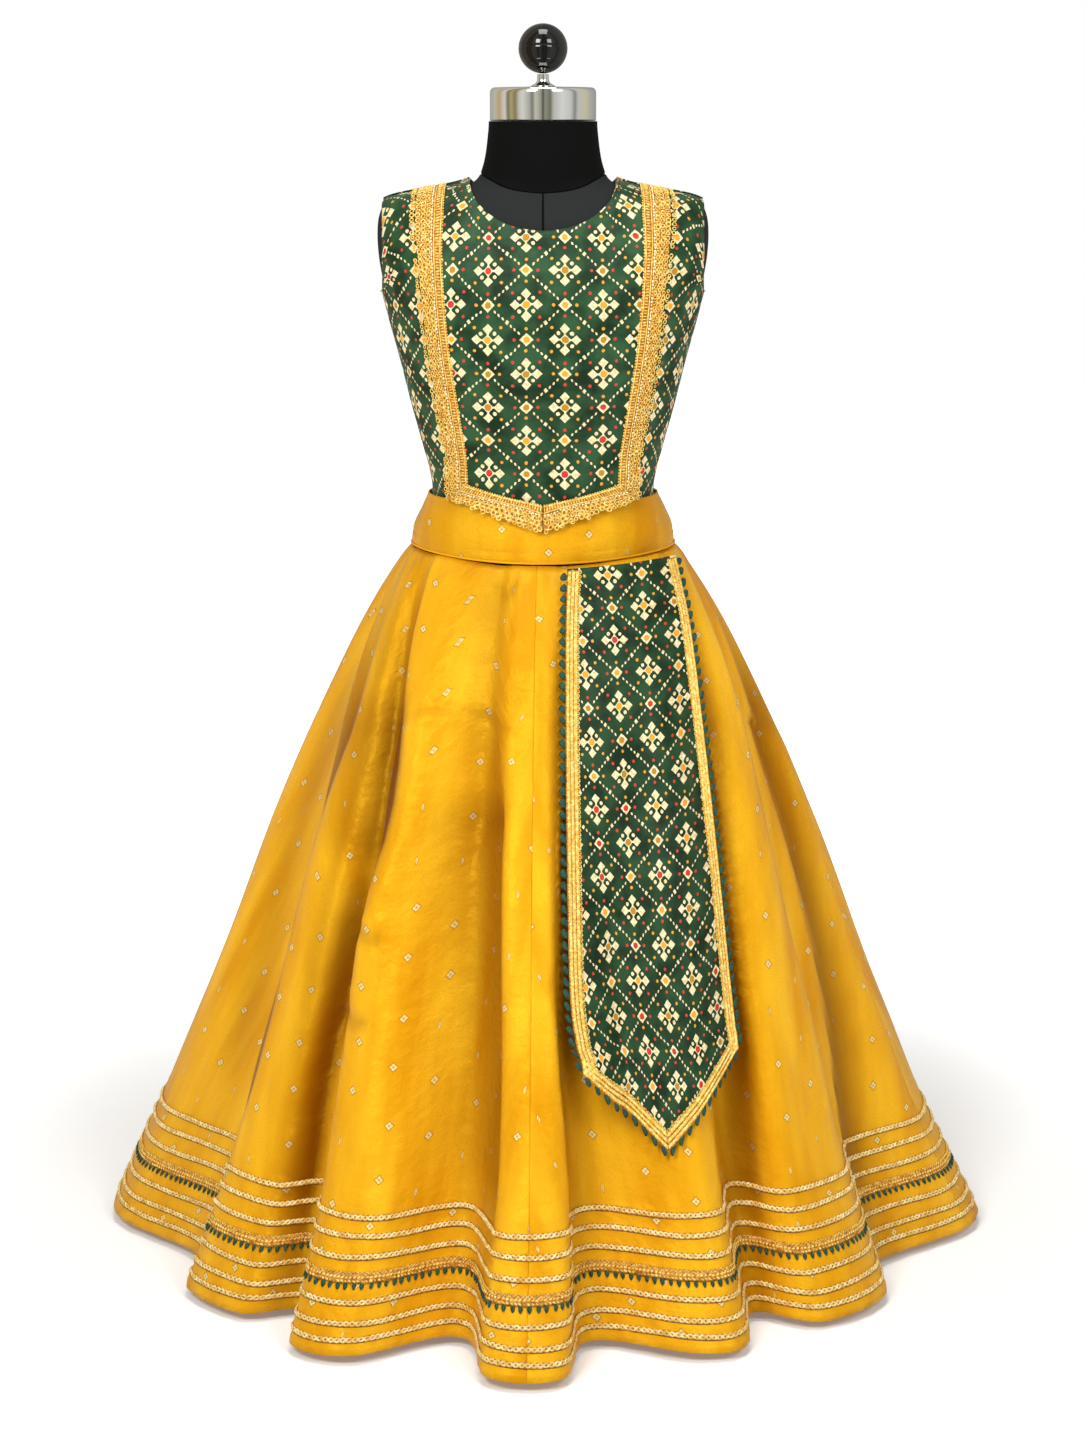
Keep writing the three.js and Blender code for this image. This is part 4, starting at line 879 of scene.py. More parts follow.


# creases and hollows: corners round and heights of their line, its width on the
# two sides, its height above the cloth (below 0 a trough) and how deep the shade painted along it is
creases = [
    ([(5.1, 590), (5.5, 520), (5.9, 470), (6.15, 430), (6.2, 400), (6.1, 371), (5.7, 330), (5.1, 290),
      (4.75, 250), (4.6, 211), (4.55, 160), (4.6, 105), (4.75, 20), (4.8, -60)], (30, 7), -7, 0.95),
    ([(6.7, 520), (6.8, 430), (6.7, 371), (6.2, 310), (5.4, 240), (5.1, 160), (5.1, 60), (5.2, -40)],
     (6, 16), 2.5, 0),
    ([(5.95, 495), (6.15, 430), (6.2, 400), (6.1, 371), (5.8, 325)], (70, 8), 0, 0.9),
    ([(8.0, 600), (8.15, 530), (8.35, 470), (8.55, 420), (8.7, 370)], (30, 9), -3, 0.32),
    ([(8.55, 425), (8.68, 380), (8.75, 320), (8.8, 240), (8.8, 160), (8.8, 60)], (60, 7), -4, 0.72),
    ([(8.3, 585), (8.2, 520), (8.4, 440), (8.3, 360)], (16, 20), -2.5, 0.18),
    ([(10.4, 575), (10.2, 470), (10.1, 375), (10.1, 279), (10.25, 206), (10.4, 142), (10.7, 20)],
     (7, 34), -5, 0.7),
    ([(15.3, 560), (15.1, 440), (14.85, 362), (14.7, 284), (14.6, 201), (14.4, 119), (14.1, -40)],
     (26, 12), -5, 0.8),
    ([(18.1, 570), (17.5, 441), (17.43, 335), (17.36, 252), (17.25, 174), (17.05, 96), (16.7, -40)],
     (5, 26), -5, 0.78),
    ([(16.4, 520), (16.3, 400), (16.2, 280), (16.1, 170)], (15, 12), 1.8, 0),
    ([(3.45, 570), (3.43, 445), (3.14, 381), (3.0, 307), (3.05, 234), (3.05, 174), (2.9, 109), (2.7, -40)],
     (28, 5), -5, 0.78),
    ([(4.0, 540), (4.1, 440), (3.9, 330), (3.8, 200)], (9, 9), -1.5, 0.25),
    ([(1.6, 520), (1.5, 380), (1.55, 250), (1.6, 120)], (18, 22), -2.5, 0.3),
    # across the front, and dents above the hem
    ([(6.3, 451), (6.6, 459), (7.0, 466), (7.5, 466), (8.2, 460)], (4.5, 5), 1.8, 0),
    ([(6.45, 462), (6.9, 473), (7.4, 474), (8.3, 466), (9.4, 458)], (4.5, 4), -1.0, 0.16),
    ([(6.0, 318), (6.3, 309), (6.7, 312)], (6, 4), 1.4, 0),
    ([(5.9, 305), (6.3, 298), (6.6, 300)], (5, 6), -1.2, 0.3),
    ([(5.8, 262), (6.2, 252), (6.6, 256)], (6, 5), 1.2, 0),
    ([(5.6, 243), (6.1, 236), (6.5, 240)], (5, 6), -1.2, 0.3),
    ([(7.9, 572), (8.5, 560), (9.0, 574)], (4, 4), -1.6, 0.3),
    ([(8.6, 580), (8.9, 566), (9.1, 552)], (4, 5), 1.4, 0),
    ([(9.6, 350), (9.8, 330), (10.1, 322)], (5, 5), 1.0, 0),
    ([(19.0, 240), (19.6, 226), (20.3, 230)], (7, 6), 1.3, 0),
    # round the sides and the back
    ([(20.2, 560), (20.0, 430), (20.1, 300), (20.0, 170), (19.9, -40)], (8, 26), -5, 0.6),
    ([(21.6, 560), (21.4, 430), (21.6, 250)], (10, 14), -2, 0.25),
    ([(23.4, 570), (23.2, 450), (23.0, 300), (22.9, 150), (22.9, -40)], (24, 6), -6, 0.8),
    ([(24.6, 500), (24.4, 380), (24.5, 260)], (12, 16), 1.8, 0),
    ([(26.0, 575), (26.3, 430), (26.2, 290), (26.0, 140), (26.0, -40)], (6, 30), -6, 0.8),
    ([(28.8, 560), (28.6, 440), (28.9, 280), (29.0, 120), (29.0, -40)], (28, 7), -5, 0.7),
    ([(30.4, 570), (30.2, 450), (30.5, 330)], (12, 12), -2, 0.3),
    ([(32.2, 565), (32.0, 420), (31.8, 260), (31.9, 110), (31.9, -40)], (7, 28), -6, 0.75),
    ([(33.4, 470), (33.6, 350), (33.5, 220)], (14, 10), 1.6, 0),
    ([(35.3, 570), (35.2, 440), (35.0, 280), (34.9, 130), (34.9, -40)], (24, 6), -5, 0.7),
    ([(38.2, 560), (38.1, 420), (38.0, 280), (38.0, 130), (38.0, -40)], (6, 24), -5, 0.65),
]

hang = {
    # gathers under the waist seam: height, waves round, how far down they reach and begin
    "gathers": 0.9, "gatherWaves": 61, "gatherReach": 34, "gatherStart": 3,
    # broad unevenness of hanging cloth, between two distances down: waves round, their lean,
    # their shift and their height
    "waves": [(17, 0.011, 0.4, 1.3), (29, -0.017, 2.1, 0.9), (41, 0.023, 4.0, 0.5)],
    "waveReach": (20, 160),
    # puffs between the hem's braids, and puckers where these are sewn down: height, and the
    # distances up the cloth between which they end
    "puffs": 0.8, "puffSink": 0.5, "puffStart": 12, "puffPitch": 14, "puffEnd": (112, 130),
    "puckers": 0.7, "puckerWaves": 150, "puckerLean": 0.35, "puckerEnd": (100, 135),
    # a crease fades towards its ends, never quite to nothing
    "creaseSwell": 2.2, "creaseEnd": 0.03,
}


def wavesRelief():
    turn, below, above = skirtAround[None] * math.tau / corners, slant[-1] - slant[:, None], slant[:, None]
    uneven = 0.65 + 0.35 * np.sin(13 * turn + 1)
    gathers = np.sin(hang["gatherWaves"] * turn + 1.7 * np.sin(9 * turn)) * uneven
    relief = hang["gathers"] * gathers * np.exp(-below / hang["gatherReach"]) \
        * (1 - np.exp(-below / hang["gatherStart"]))
    for waves, fall, shift, high in hang["waves"]:
        relief = relief + high * np.sin(waves * turn + fall * below + shift) \
            * smoothStep(below, *hang["waveReach"])
    puffs = 0.5 - 0.5 * np.cos(math.tau * (above - hang["puffStart"]) / hang["puffPitch"])
    puckers = hang["puckers"] * np.sin(hang["puckerWaves"] * turn + hang["puckerLean"] * above)
    return relief + (hang["puffs"] * puffs - hang["puffSink"]) * (1 - smoothStep(above, *hang["puffEnd"])) \
        + puckers * (1 - smoothStep(above, *hang["puckerEnd"])) * np.sin(23 * turn)


def creaseShape(line, widths):
    # 1 along the crease's line, fading to its two sides and its ends
    heights = skirtBase[..., 2]
    line = np.array(line, float)
    away = np.full(heights.shape, 1e9)
    fade, side = np.zeros(heights.shape), np.zeros(heights.shape)
    for k, (start, end) in enumerate(zip(line, line[1:])):
        first, last = arcAt(start[0])[:, None], arcAt(end[0])[:, None]
        dx, dz = arcGap(first, skirtArcs[:, :-1]), heights - start[1]
        row = np.abs(heights.mean(1) - (start[1] + end[1]) / 2).argmin()
        run = np.array([arcGap(first, last)[row, 0], end[1] - start[1]])
        share = np.clip((dx * run[0] + dz * run[1]) / (run @ run), 0, 1)
        gap = np.hypot(dx - share * run[0], dz - share * run[1])
        along = np.clip((k + share) / (len(line) - 1), hang["creaseEnd"], 1 - hang["creaseEnd"])
        swell = np.minimum(hang["creaseSwell"] * np.sin(math.pi * along), 1)
        fade = np.where(gap < away, swell, fade)
        side = np.where(gap < away, np.sign(dx * run[1] - dz * run[0]), side)
        away = np.minimum(away, gap)
    rising = line[-1, 1] > line[0, 1]
    width = np.where((side > 0) == rising, widths[1], widths[0])
    return fade * np.exp(-(away / width) ** 2)


def skirtRelief():
    # how far each point stands off the plain folds, and how deep the shade painted on it is
    relief = wavesRelief()
    hollow = np.zeros(relief.shape)
    for line, widths, high, shade in creases:
        shape = creaseShape(line, widths)
        relief = relief + high * shape
        hollow = 1 - (1 - hollow) * (1 - shade * shape)
    return relief, hollow


skirtHeights, skirtPaintedShade = skirtRelief()
skirtShown = skirtBase + skirtNormals * skirtHeights[..., None]
shownNormals = gridNormals(skirtShown, True)


def goreGrid(start, end):
    # the shown skirt between two seams, its edges turned in a little
    extra = np.array([place for place, depth in skirt["seamTurn"]])
    clear = extra[-1] + 0.01
    inside = np.arange(math.ceil((start + clear) * skirt["perCorner"]),
                       math.floor((end - clear) * skirt["perCorner"]) + 1) / skirt["perCorner"]
    around = np.concatenate([start + extra, inside, end - extra[::-1]])
    at = around * skirt["perCorner"]
    low = np.floor(at).astype(int)
    share, count = at - low, len(skirtAround)

    def between(grid):
        part = share[:, None] if grid.ndim == 3 else share
        return grid[:, low % count] * (1 - part) + grid[:, (low + 1) % count] * part

    sink = np.zeros(len(around))
    for k, (place, depth) in enumerate(skirt["seamTurn"]):
        sink[[k, -1 - k]] = depth
    points = between(skirtShown) - unit(between(shownNormals)) * sink[None, :, None]
    return points, clothUv(points, len(around) // 2), between(skirtPaintedShade)


def hemStrip():
    rows = slant < skirt["hemReach"]
    points = np.swapaxes(skirtShown[rows], 0, 1)
    return makeStrip(points, np.swapaxes(shownNormals[rows], 0, 1), closed=True)


# sash panel
sash = {
    # height, near edge and far edge from the axis
    "edges": [(130, 35, 162), (212, 31, 155), (232, 26, 152.5), (270, 21, 148.5), (357, 19, 140),
              (451, 18, 130), (526, 18, 121), (562, 19, 114), (592, 20, 107)],
    "lift": 2.7, "wall": 1.4, "thin": 1.0, "corner": 212, "tip": 150,
    # the panel hangs from the waist seam, from the first angle over the second, a little below
    "hangFrom": 13, "hangOver": 50, "topDrop": 0.4,
    # the skirt's outline under it is read in steps of angle and height, from its columns and
    # this many places between each two
    "turns": (-24, 92, 0.25), "heights": (120, 597, 4.0), "between": 12,
    # how the panel bridges two folds: falling away sideways by this share of the radius per
    # radian, for so many steps of so many turns, and up and down by the flare over this rise
    "slope": 0.4, "bridgeSteps": 8, "bridgeTurns": 5, "bridgeRise": 14,
    "hip": 575, "flareAbove": 0.95, "flareBelow": 0.5, "smoothing": 8,
    "roughRadius": 400, "roughLength": 400, "columns": 41, "rows": 110,
    "laceWidth": 11.5, "farLace": 8.5,
    "picotPitch": 9.6, "picotSize": (8.8, 7.5, 2.2), "picotPoint": 0.6, "picotOut": 2.9,
}
sashTable = denseTable(sash["edges"])
reachTurns = np.radians(np.arange(*sash["turns"]))
reachHeights = np.arange(*sash["heights"])


def sashTop(across):
    turn = sash["hangFrom"] + sash["hangOver"] * np.asarray(across, float)
    return waistSeam(np.radians(turn)) - sash["topDrop"]


def sashReach():
    # how far out the sash stands at each height and angle: it bridges the skirt's folds
    flat = [[np.interp(reachHeights, line[:, 2], line[:, k]) for k in (0, 1)]
            for line in np.swapaxes(skirtShown, 0, 1)]
    section = np.moveaxis(np.array(flat), 0, -1)          # axis, height, column
    reach = np.zeros((len(reachHeights), len(reachTurns)))
    following = np.roll(section, -1, -1)
    for share in np.linspace(0, 1, sash["between"], endpoint=False):
        x, y = section * (1 - share) + following * share
        turn, radius = np.arctan2(x, -y), np.hypot(x, y)
        slot = np.round((turn - reachTurns[0]) / (reachTurns[1] - reachTurns[0])).astype(int)
        fine = (slot >= 0) & (slot < len(reachTurns))
        rows = np.broadcast_to(np.arange(len(reachHeights))[:, None], slot.shape)
        np.maximum.at(reach, (rows[fine], slot[fine]), radius[fine])
    best = np.zeros_like(reach)
    for rise in (0, -sash["bridgeRise"], sash["bridgeRise"]):
        held = np.clip(reachHeights + rise, reachHeights[0], sashTop(0))
        rows = np.interp(held, reachHeights, np.arange(len(reachHeights)))
        low = np.floor(rows).astype(int)
        high = np.minimum(low + 1, len(reachHeights) - 1)
        layer = reach[low] + (reach[high] - reach[low]) * (rows - low)[:, None]
        fall = -rise * np.where(reachHeights > sash["hip"], sash["flareAbove"], sash["flareBelow"])
        for step in range(-sash["bridgeSteps"], sash["bridgeSteps"] + 1):
            turns = step * sash["bridgeTurns"]
            away = abs(math.radians(turns * sash["turns"][2]))
            best = np.maximum(best, np.roll(layer, -turns, 1) * (1 - sash["slope"] * away) - fall[:, None])
    for _ in range(sash["smoothing"]):
        best = (np.roll(best, 2, 1) + 2 * best + np.roll(best, -2, 1)) / 4
        best[1:-1] = (best[:-2] + 2 * best[1:-1] + best[2:]) / 4
    return best


sashRadii = sashReach()


def radiusAt(turn, height):
    i = np.clip(np.interp(height, reachHeights, np.arange(len(reachHeights))), 0, len(reachHeights) - 1.001)
    j = np.clip((turn - reachTurns[0]) / (reachTurns[1] - reachTurns[0]), 0, len(reachTurns) - 1.001)
    i0, j0 = i.astype(int), j.astype(int)
    a, b = i - i0, j - j0
    return (sashRadii[i0, j0] * (1 - a) * (1 - b) + sashRadii[i0 + 1, j0] * a * (1 - b)
            + sashRadii[i0, j0 + 1] * (1 - a) * b + sashRadii[i0 + 1, j0 + 1] * a * b)


def sashPoint(across, down, lift=0.0):
    across, down = np.broadcast_arrays(np.asarray(across, float), down)
    top = sashTop(across)
    low = sash["tip"] + (sash["corner"] - sash["tip"]) * np.abs(across - 0.5) / 0.5
    z = top + (low - top) * down
    near = np.interp(z, sashTable[:, 1], sashTable[:, 2])
    far = np.interp(z, sashTable[:, 1], sashTable[:, 3])
    x = near + (far - near) * across
    turn = np.arcsin(x / sash["roughRadius"])
    for _ in range(6):        # the radius and the turn settle on each other
        radius = radiusAt(turn, z) + sash["lift"] + sash["wall"] + lift
        turn = np.arcsin(np.minimum(x / radius, 1))
    return np.stack([radius * np.sin(turn), -radius * np.cos(turn), z], -1)


sashAcross = np.linspace(0, 1, sash["columns"])
sashDown = np.linspace(1, 0, sash["rows"])
sashGrid = sashPoint(sashAcross[None], sashDown[:, None])


def sashStrip(near):
    # one long edge from its bottom corner up, w towards the wearer's left
    down = np.linspace(1, 0.004, 160)
    width = np.linalg.norm(sashPoint(1, down) - sashPoint(0, down), axis=-1)[:, None] * 1.03
    share = np.linspace(0, 1, 6) * sash["laceWidth" if near else "farLace"] / width
    points = sashPoint(share if near else 1 - share[:, ::-1], down[:, None], 0.25)
    return makeStrip(points, gridNormals(points))


def pointStrip(near):
    # the edge along one side of the point, s towards the wearer's left and w upwards
    across = np.linspace(0, 0.5, 48) if near else np.linspace(0.5, 1, 48)
    depth = np.linspace(0, sash["laceWidth"] * 1.15 / sash["roughLength"], 6)
    points = sashPoint(across[None], 1 - depth[:, None], 0.4)
    return makeStrip(np.swapaxes(points, 0, 1), np.swapaxes(gridNormals(points), 0, 1))


# cloth and thread
blockPrint = {
    # half the repeat; every shape lies in that cell, a flower's centre in its corner
    "cell": (31.0, 27.7),
    # centres, with a diamond's two halves or a disc's radius
    "petal": [((8.8, 0, 0), (4.3, 4.1)), ((0, 8.8, 0), (4.1, 4.3)), ((0, 0, 0), (4.7, 4.7)),
              ((5.5, 5.2, 0), 1.6), ((31, 0, 0), (5.6, 5.4)), ((31, 0, 0), 4.0),
              ((0, 27.7, 0), (5.6, 5.4)), ((0, 27.7, 0), 4.0), ((15.5, 13.6, 0), (1.8, 1.8))],
    "core": [((0, 0, 0), 2.8), ((31, 0, 0), 2.5), ((0, 27.7, 0), 2.5)],
    "inner": [((10.8, 9.7, 0), 1.35)],
    "outer": [((21.6, 0, 0), 1.35), ((0, 18.8, 0), 1.35)],
    "stemHalf": 0.75, "stemReach": 7.5,
    # dots along the trellis: their line's direction and middle, half pitch, radius and reach
    "line": (0.7526, -0.6585, 0), "lineMiddle": 2.823, "lineScale": 21.07,
    "dotHalf": 2.15, "dotFlat": 0.8, "dotRadius": 0.92, "dotReach": 14.6,
    "wander": 1.8,            # how far the printing strays
}


def printShape(name, centre, halves):
    # rows for a mask in the print's cell: a disc by its radius, or a diamond by its halves
    if isinstance(halves, float):
        return [(name + "Gap", "VectorMath:DISTANCE", ["spot", centre]),
                (name, "Math:LESS_THAN", [name + "Gap:Value", halves])]
    return [(name + "Off", "VectorMath:SUBTRACT", ["spot", centre]),
            (name + "Away", "VectorMath:ABSOLUTE", [name + "Off"]),
            (name + "Sum", "VectorMath:DOT_PRODUCT", [name + "Away", (1 / halves[0], 1 / halves[1], 0)]),
            (name, "Math:LESS_THAN", [name + "Sum:Value", 1.0])]


def printAll(name):
    # rows for one mask that joins all of a motif's shapes
    rows, last = [], None
    for k, (centre, halves) in enumerate(blockPrint[name]):
        rows += printShape(f"{name}{k}", centre, halves)
        if last:
            rows.append((f"{name}{k}All", "Math:MAXIMUM", [last, f"{name}{k}"]))
        last = f"{name}{k}All" if last else f"{name}{k}"
    return rows, last


def printCloth(name, offset, dark, light):
    # printed art silk, plain woven: a soft low sheen under a trellis of dots with a diamond
    # flower in every cell; its threads are too fine to show and are drawn as 2 mm specks
    material, tree, shader = newMaterial(name, "#2c5238", 0.5, **{"Specular IOR Level": 0.14})
    petals, petalMask = printAll("petal")
    cores, coreMask = printAll("core")
    inner, innerMask = printAll("inner")
    outer, outerMask = printAll("outer")
    halfX, halfY = blockPrint["cell"]
    wander, scale = blockPrint["wander"], blockPrint["lineScale"]
    start = (offset[0] - wander / 2, offset[1] - wander / 2, 0)
    rows = [
        ("cloth", "UVMap", (), {"uv_map": "cloth"}),
        ("large", "VectorMath:SCALE", {0: "cloth", 3: 1000.0}),
        ("wander", "TexNoise", {"Vector": "cloth", "Scale": 75.0, "Detail": 1.0}),
        ("warp", "VectorMath:MULTIPLY_ADD", ["wander:Color", (wander, wander, 0), start]),
        ("moved", "VectorMath:ADD", ["large", "warp"]),
        ("xy", "SeparateXYZ", ["moved"]),
        ("x", "Math:PINGPONG", ["xy:X", halfX]),
        ("y", "Math:PINGPONG", ["xy:Y", halfY]),
        ("across", "Math:MULTIPLY", ["x", 1 / halfX]),
        ("share", "Math:MULTIPLY_ADD", ["y", 1 / halfY, "across"]),
        ("other", "Math:GREATER_THAN", ["share", 1.0]),
        ("flipX", "Math:MULTIPLY_ADD", ["x", -2.0, halfX]),
        ("flipY", "Math:MULTIPLY_ADD", ["y", -2.0, halfY]),
        ("p", "Math:MULTIPLY_ADD", ["other", "flipX", "x"]),
        ("q", "Math:MULTIPLY_ADD", ["other", "flipY", "y"]),
        ("spot", "CombineXYZ", ["p", "q", 0.0]),
        # each motif's own number picks its colours
        ("cell", "VectorMath:MULTIPLY_ADD", ["moved", (1 / halfX, 1 / halfY, 0), (0.5, 0.5, 0)]),
        ("number", "VectorMath:FLOOR", ["cell"]),
        ("luck", "TexWhiteNoise", ["number"], {"noise_dimensions": "2D"}),
        ("warm", "Math:GREATER_THAN", ["luck:Value", 0.52]),
        ("hollow", "Math:LESS_THAN", ["luck:Value", 0.3]),
        # thin stems from the centre to the petals
        ("least", "Math:MINIMUM", ["p", "q"]),
        ("thin", "Math:LESS_THAN", ["least", blockPrint["stemHalf"]]),
        ("sum", "Math:ADD", ["p", "q"]),
        ("close", "Math:LESS_THAN", ["sum", blockPrint["stemReach"]]),
        ("stem", "Math:MULTIPLY", ["thin", "close"]),
        # dots along the trellis
        ("run", "VectorMath:DOT_PRODUCT", ["spot", blockPrint["line"]]),
        ("runMid", "Math:SUBTRACT", ["run:Value", blockPrint["lineMiddle"]]),
        ("beat", "Math:PINGPONG", ["runMid", blockPrint["dotHalf"]]),
        ("beatFlat", "Math:MULTIPLY", ["beat", blockPrint["dotFlat"]]),
        ("dotShare", "VectorMath:DOT_PRODUCT", ["spot", (1 / halfX, 1 / halfY, 0)]),
        ("dotAway", "Math:MULTIPLY_ADD", ["dotShare:Value", scale, -scale]),
        ("dotSpot", "CombineXYZ", ["beatFlat", "dotAway", 0.0]),
        ("dotGap", "VectorMath:LENGTH", ["dotSpot"]),
        ("dot", "Math:LESS_THAN", ["dotGap:Value", blockPrint["dotRadius"]]),
        ("runFar", "Math:ABSOLUTE", ["runMid"]),
        ("runIn", "Math:LESS_THAN", ["runFar", blockPrint["dotReach"]]),
        ("dots", "Math:MULTIPLY", ["dot", "runIn"]),
        *petals, *cores, *inner, *outer,
        ("light1", "Math:MAXIMUM", [petalMask, "stem"]),
        ("light", "Math:MAXIMUM", ["light1", "dots"]),
        ("blotch", "TexNoise", {"Vector": "cloth", "Scale": 42.0, "Detail": 3.0}),
        ("speck", "TexNoise", {"Vector": "cloth", "Scale": 420.0, "Detail": 2.0}),
        ("speckShare", "MapRange", ["speck", 0.35, 0.65, 0.0, 1.0]),
        ("blotchShare", "MapRange", ["blotch", 0.35, 0.65, 0.0, 1.0]),
        ("ground", "MixRGB", ["blotchShare", linear(dark), linear(light)]),
        ("cream", "MixRGB", ["speckShare", linear("#f7eecb"), linear("#dcc17e")]),
        ("core", "MixRGB", ["warm", linear("#c93a31"), linear("#e9a330")]),
        ("core2", "MixRGB", ["hollow", "core", linear("#b8862a")]),
        ("innerTone", "MixRGB", ["other", linear("#c8442f"), linear("#dd9d33")]),
        ("outerTone", "MixRGB", ["other", linear("#dd9d33"), linear("#c8442f")]),
        ("base1", "MixRGB", ["light", "ground", "cream"]),
        ("base2", "MixRGB", [coreMask, "base1", "core2"]),
        ("base3", "MixRGB", [innerMask, "base2", "innerTone"]),
        ("base4", "MixRGB", [outerMask, "base3", "outerTone"]),
        ("weave", "Bump", {"Height": "speck", "Strength": 0.25, "Distance": 0.0002}),
    ]
    made = addNodes(tree, rows)
    tree.links.new(made["base4"].outputs[0], shader.inputs["Base Color"])
    tree.links.new(made["weave"].outputs[0], shader.inputs["Normal"])
    return material


# small woven sprigs, apart across and up, in half-dropped columns, each a little off its place
sprig = {"across": 36, "up": 42, "strayAcross": 7, "strayUp": 9, "leaf": 3.3, "rim": 4.3,
         "split": 1.25, "rimSplit": 1.9, "heart": 1.0, "dash": 1.8}


def satinCloth(name):
    # heavy mustard satin: a broad warm sheen, crushed a little, and painted shade, deeper orange,
    # where a fold shades it; its threads are too fine to show and are drawn 1 mm apart
    across, up = sprig["across"], sprig["up"]
    strayAcross, strayUp = sprig["strayAcross"], sprig["strayUp"]
    material, tree, shader = newMaterial(name, "#f0a810", 0.4, **{
        "Specular IOR Level": 0.9, "Specular Tint": linear("#ffc830")})
    made = addNodes(tree, [
        ("cloth", "UVMap", (), {"uv_map": "cloth"}),
        ("large", "VectorMath:SCALE", {0: "cloth", 3: 1000.0}),
        ("xy", "SeparateXYZ", ["large"]),
        ("column", "Math:MULTIPLY_ADD", ["xy:X", 1 / across, 0.5]),
        ("columnNo", "Math:FLOOR", ["column"]),
        ("odd", "Math:FLOORED_MODULO", ["columnNo", 2.0]),
        ("drop", "Math:MULTIPLY_ADD", ["odd", up / 2, "xy:Y"]),
        ("row", "Math:MULTIPLY_ADD", ["drop", 1 / up, 0.5]),
        ("rowNo", "Math:FLOOR", ["row"]),
        ("number", "CombineXYZ", ["columnNo", "rowNo", 0.0]),
        ("luck", "TexWhiteNoise", ["number"], {"noise_dimensions": "2D"}),
        ("grid", "CombineXYZ", ["column", "row", 0.0]),
        ("inCell", "VectorMath:SUBTRACT", ["grid", "number"]),
        ("sized", "VectorMath:MULTIPLY_ADD", ["inCell", (across, up, 0), (-across / 2, -up / 2, 0)]),
        ("shake", "VectorMath:MULTIPLY_ADD", ["luck:Color", (strayAcross, strayUp, 0),
                                              (-strayAcross / 2, -strayUp / 2, 0)]),
        ("spot", "VectorMath:ADD", ["sized", "shake"]),
        ("away", "VectorMath:ABSOLUTE", ["spot"]),
        ("parts", "SeparateXYZ", ["away"]),
        # some sprigs are caught only as a dash
        ("dash", "Math:GREATER_THAN", ["luck:Value", 0.62]),
        ("narrow", "Math:MULTIPLY_ADD", ["dash", sprig["dash"], 1.0]),
        ("px", "Math:MULTIPLY", ["parts:X", "narrow"]),
        ("sum", "Math:ADD", ["px", "parts:Y"]),
        ("leaf", "Math:LESS_THAN", ["sum", sprig["leaf"]]),
        ("rim", "Math:LESS_THAN", ["sum", sprig["rim"]]),
        ("least", "Math:MINIMUM", ["px", "parts:Y"]),
        ("split", "Math:LESS_THAN", ["least", sprig["split"]]),
        ("sprig", "Math:MULTIPLY", ["leaf", "split"]),
        ("rimSplit", "Math:LESS_THAN", ["least", sprig["rimSplit"]]),
        ("outline", "Math:MULTIPLY", ["rim", "rimSplit"]),
        ("heart", "Math:LESS_THAN", ["sum", sprig["heart"]]),
        # streaks of painted sheen: the ground lighter and darker in long runs down the cloth
        ("drawn", "VectorMath:MULTIPLY", ["cloth", (1, 0.22, 1)]),
        ("tone", "TexNoise", {"Vector": "drawn", "Scale": 26.0, "Detail": 3.0}),
        ("toneShare", "MapRange", ["tone", 0.35, 0.65, 0.0, 1.0]),
        ("grain", "TexNoise", {"Vector": "cloth", "Scale": 900.0, "Detail": 2.0}),
        ("ground0", "MixRGB", ["toneShare", linear("#e0980c"), linear("#fdc024")]),
        ("threads", "MapRange", ["grain", 0.35, 0.65, 0.0, 0.35]),
        ("ground", "MixRGB", ["threads", "ground0", linear("#c98408")]),
        ("base1", "MixRGB", ["outline", "ground", linear("#b8801c")]),
        ("base2", "MixRGB", ["sprig", "base1", linear("#ecd392")]),
        ("base3", "MixRGB", ["heart", "base2", linear("#b98a35")]),
        # painted shade: the 'hollow' attribute turns the satin deep orange in its folds
        ("hollow", "Attribute", (), {"attribute_name": "hollow"}),
        ("base4", "MixRGB", ["hollow:Fac", "base3", linear("#6e3400")]),
        ("crush", "TexNoise", {"Vector": "cloth", "Scale": 34.0, "Detail": 4.0, "Roughness": 0.55}),
        ("folds", "Bump", {"Height": "crush", "Strength": 0.8, "Distance": 0.004}),
        ("weave", "Bump", {"Height": "grain", "Strength": 0.2, "Distance": 0.0002, "Normal": "folds"}),
    ])
    tree.links.new(made["base4"].outputs[0], shader.inputs["Base Color"])
    tree.links.new(made["weave"].outputs[0], shader.inputs["Normal"])
    return material


def threadWork(name, dark, light, roughness, metallic, scale):
    # twisted thread, with painted shade between its plies, which are drawn coarser than the real ones to show
    material, tree, shader = newMaterial(name, light, roughness, metallic)
    made = addNodes(tree, [
        ("place", "TexCoord", ()),
        ("twist", "TexNoise", {"Vector": "place:Object", "Scale": scale, "Detail": 2.0}),
        ("share", "MapRange", ["twist", 0.36, 0.64, 0.0, 1.0]),
        ("tone", "MixRGB", ["share", linear(dark), linear(light)]),
        ("plies", "Bump", {"Height": "twist", "Strength": 0.5, "Distance": 0.0004}),
    ])
    tree.links.new(made["tone"].outputs[0], shader.inputs["Base Color"])
    tree.links.new(made["plies"].outputs[0], shader.inputs["Normal"])
    return material


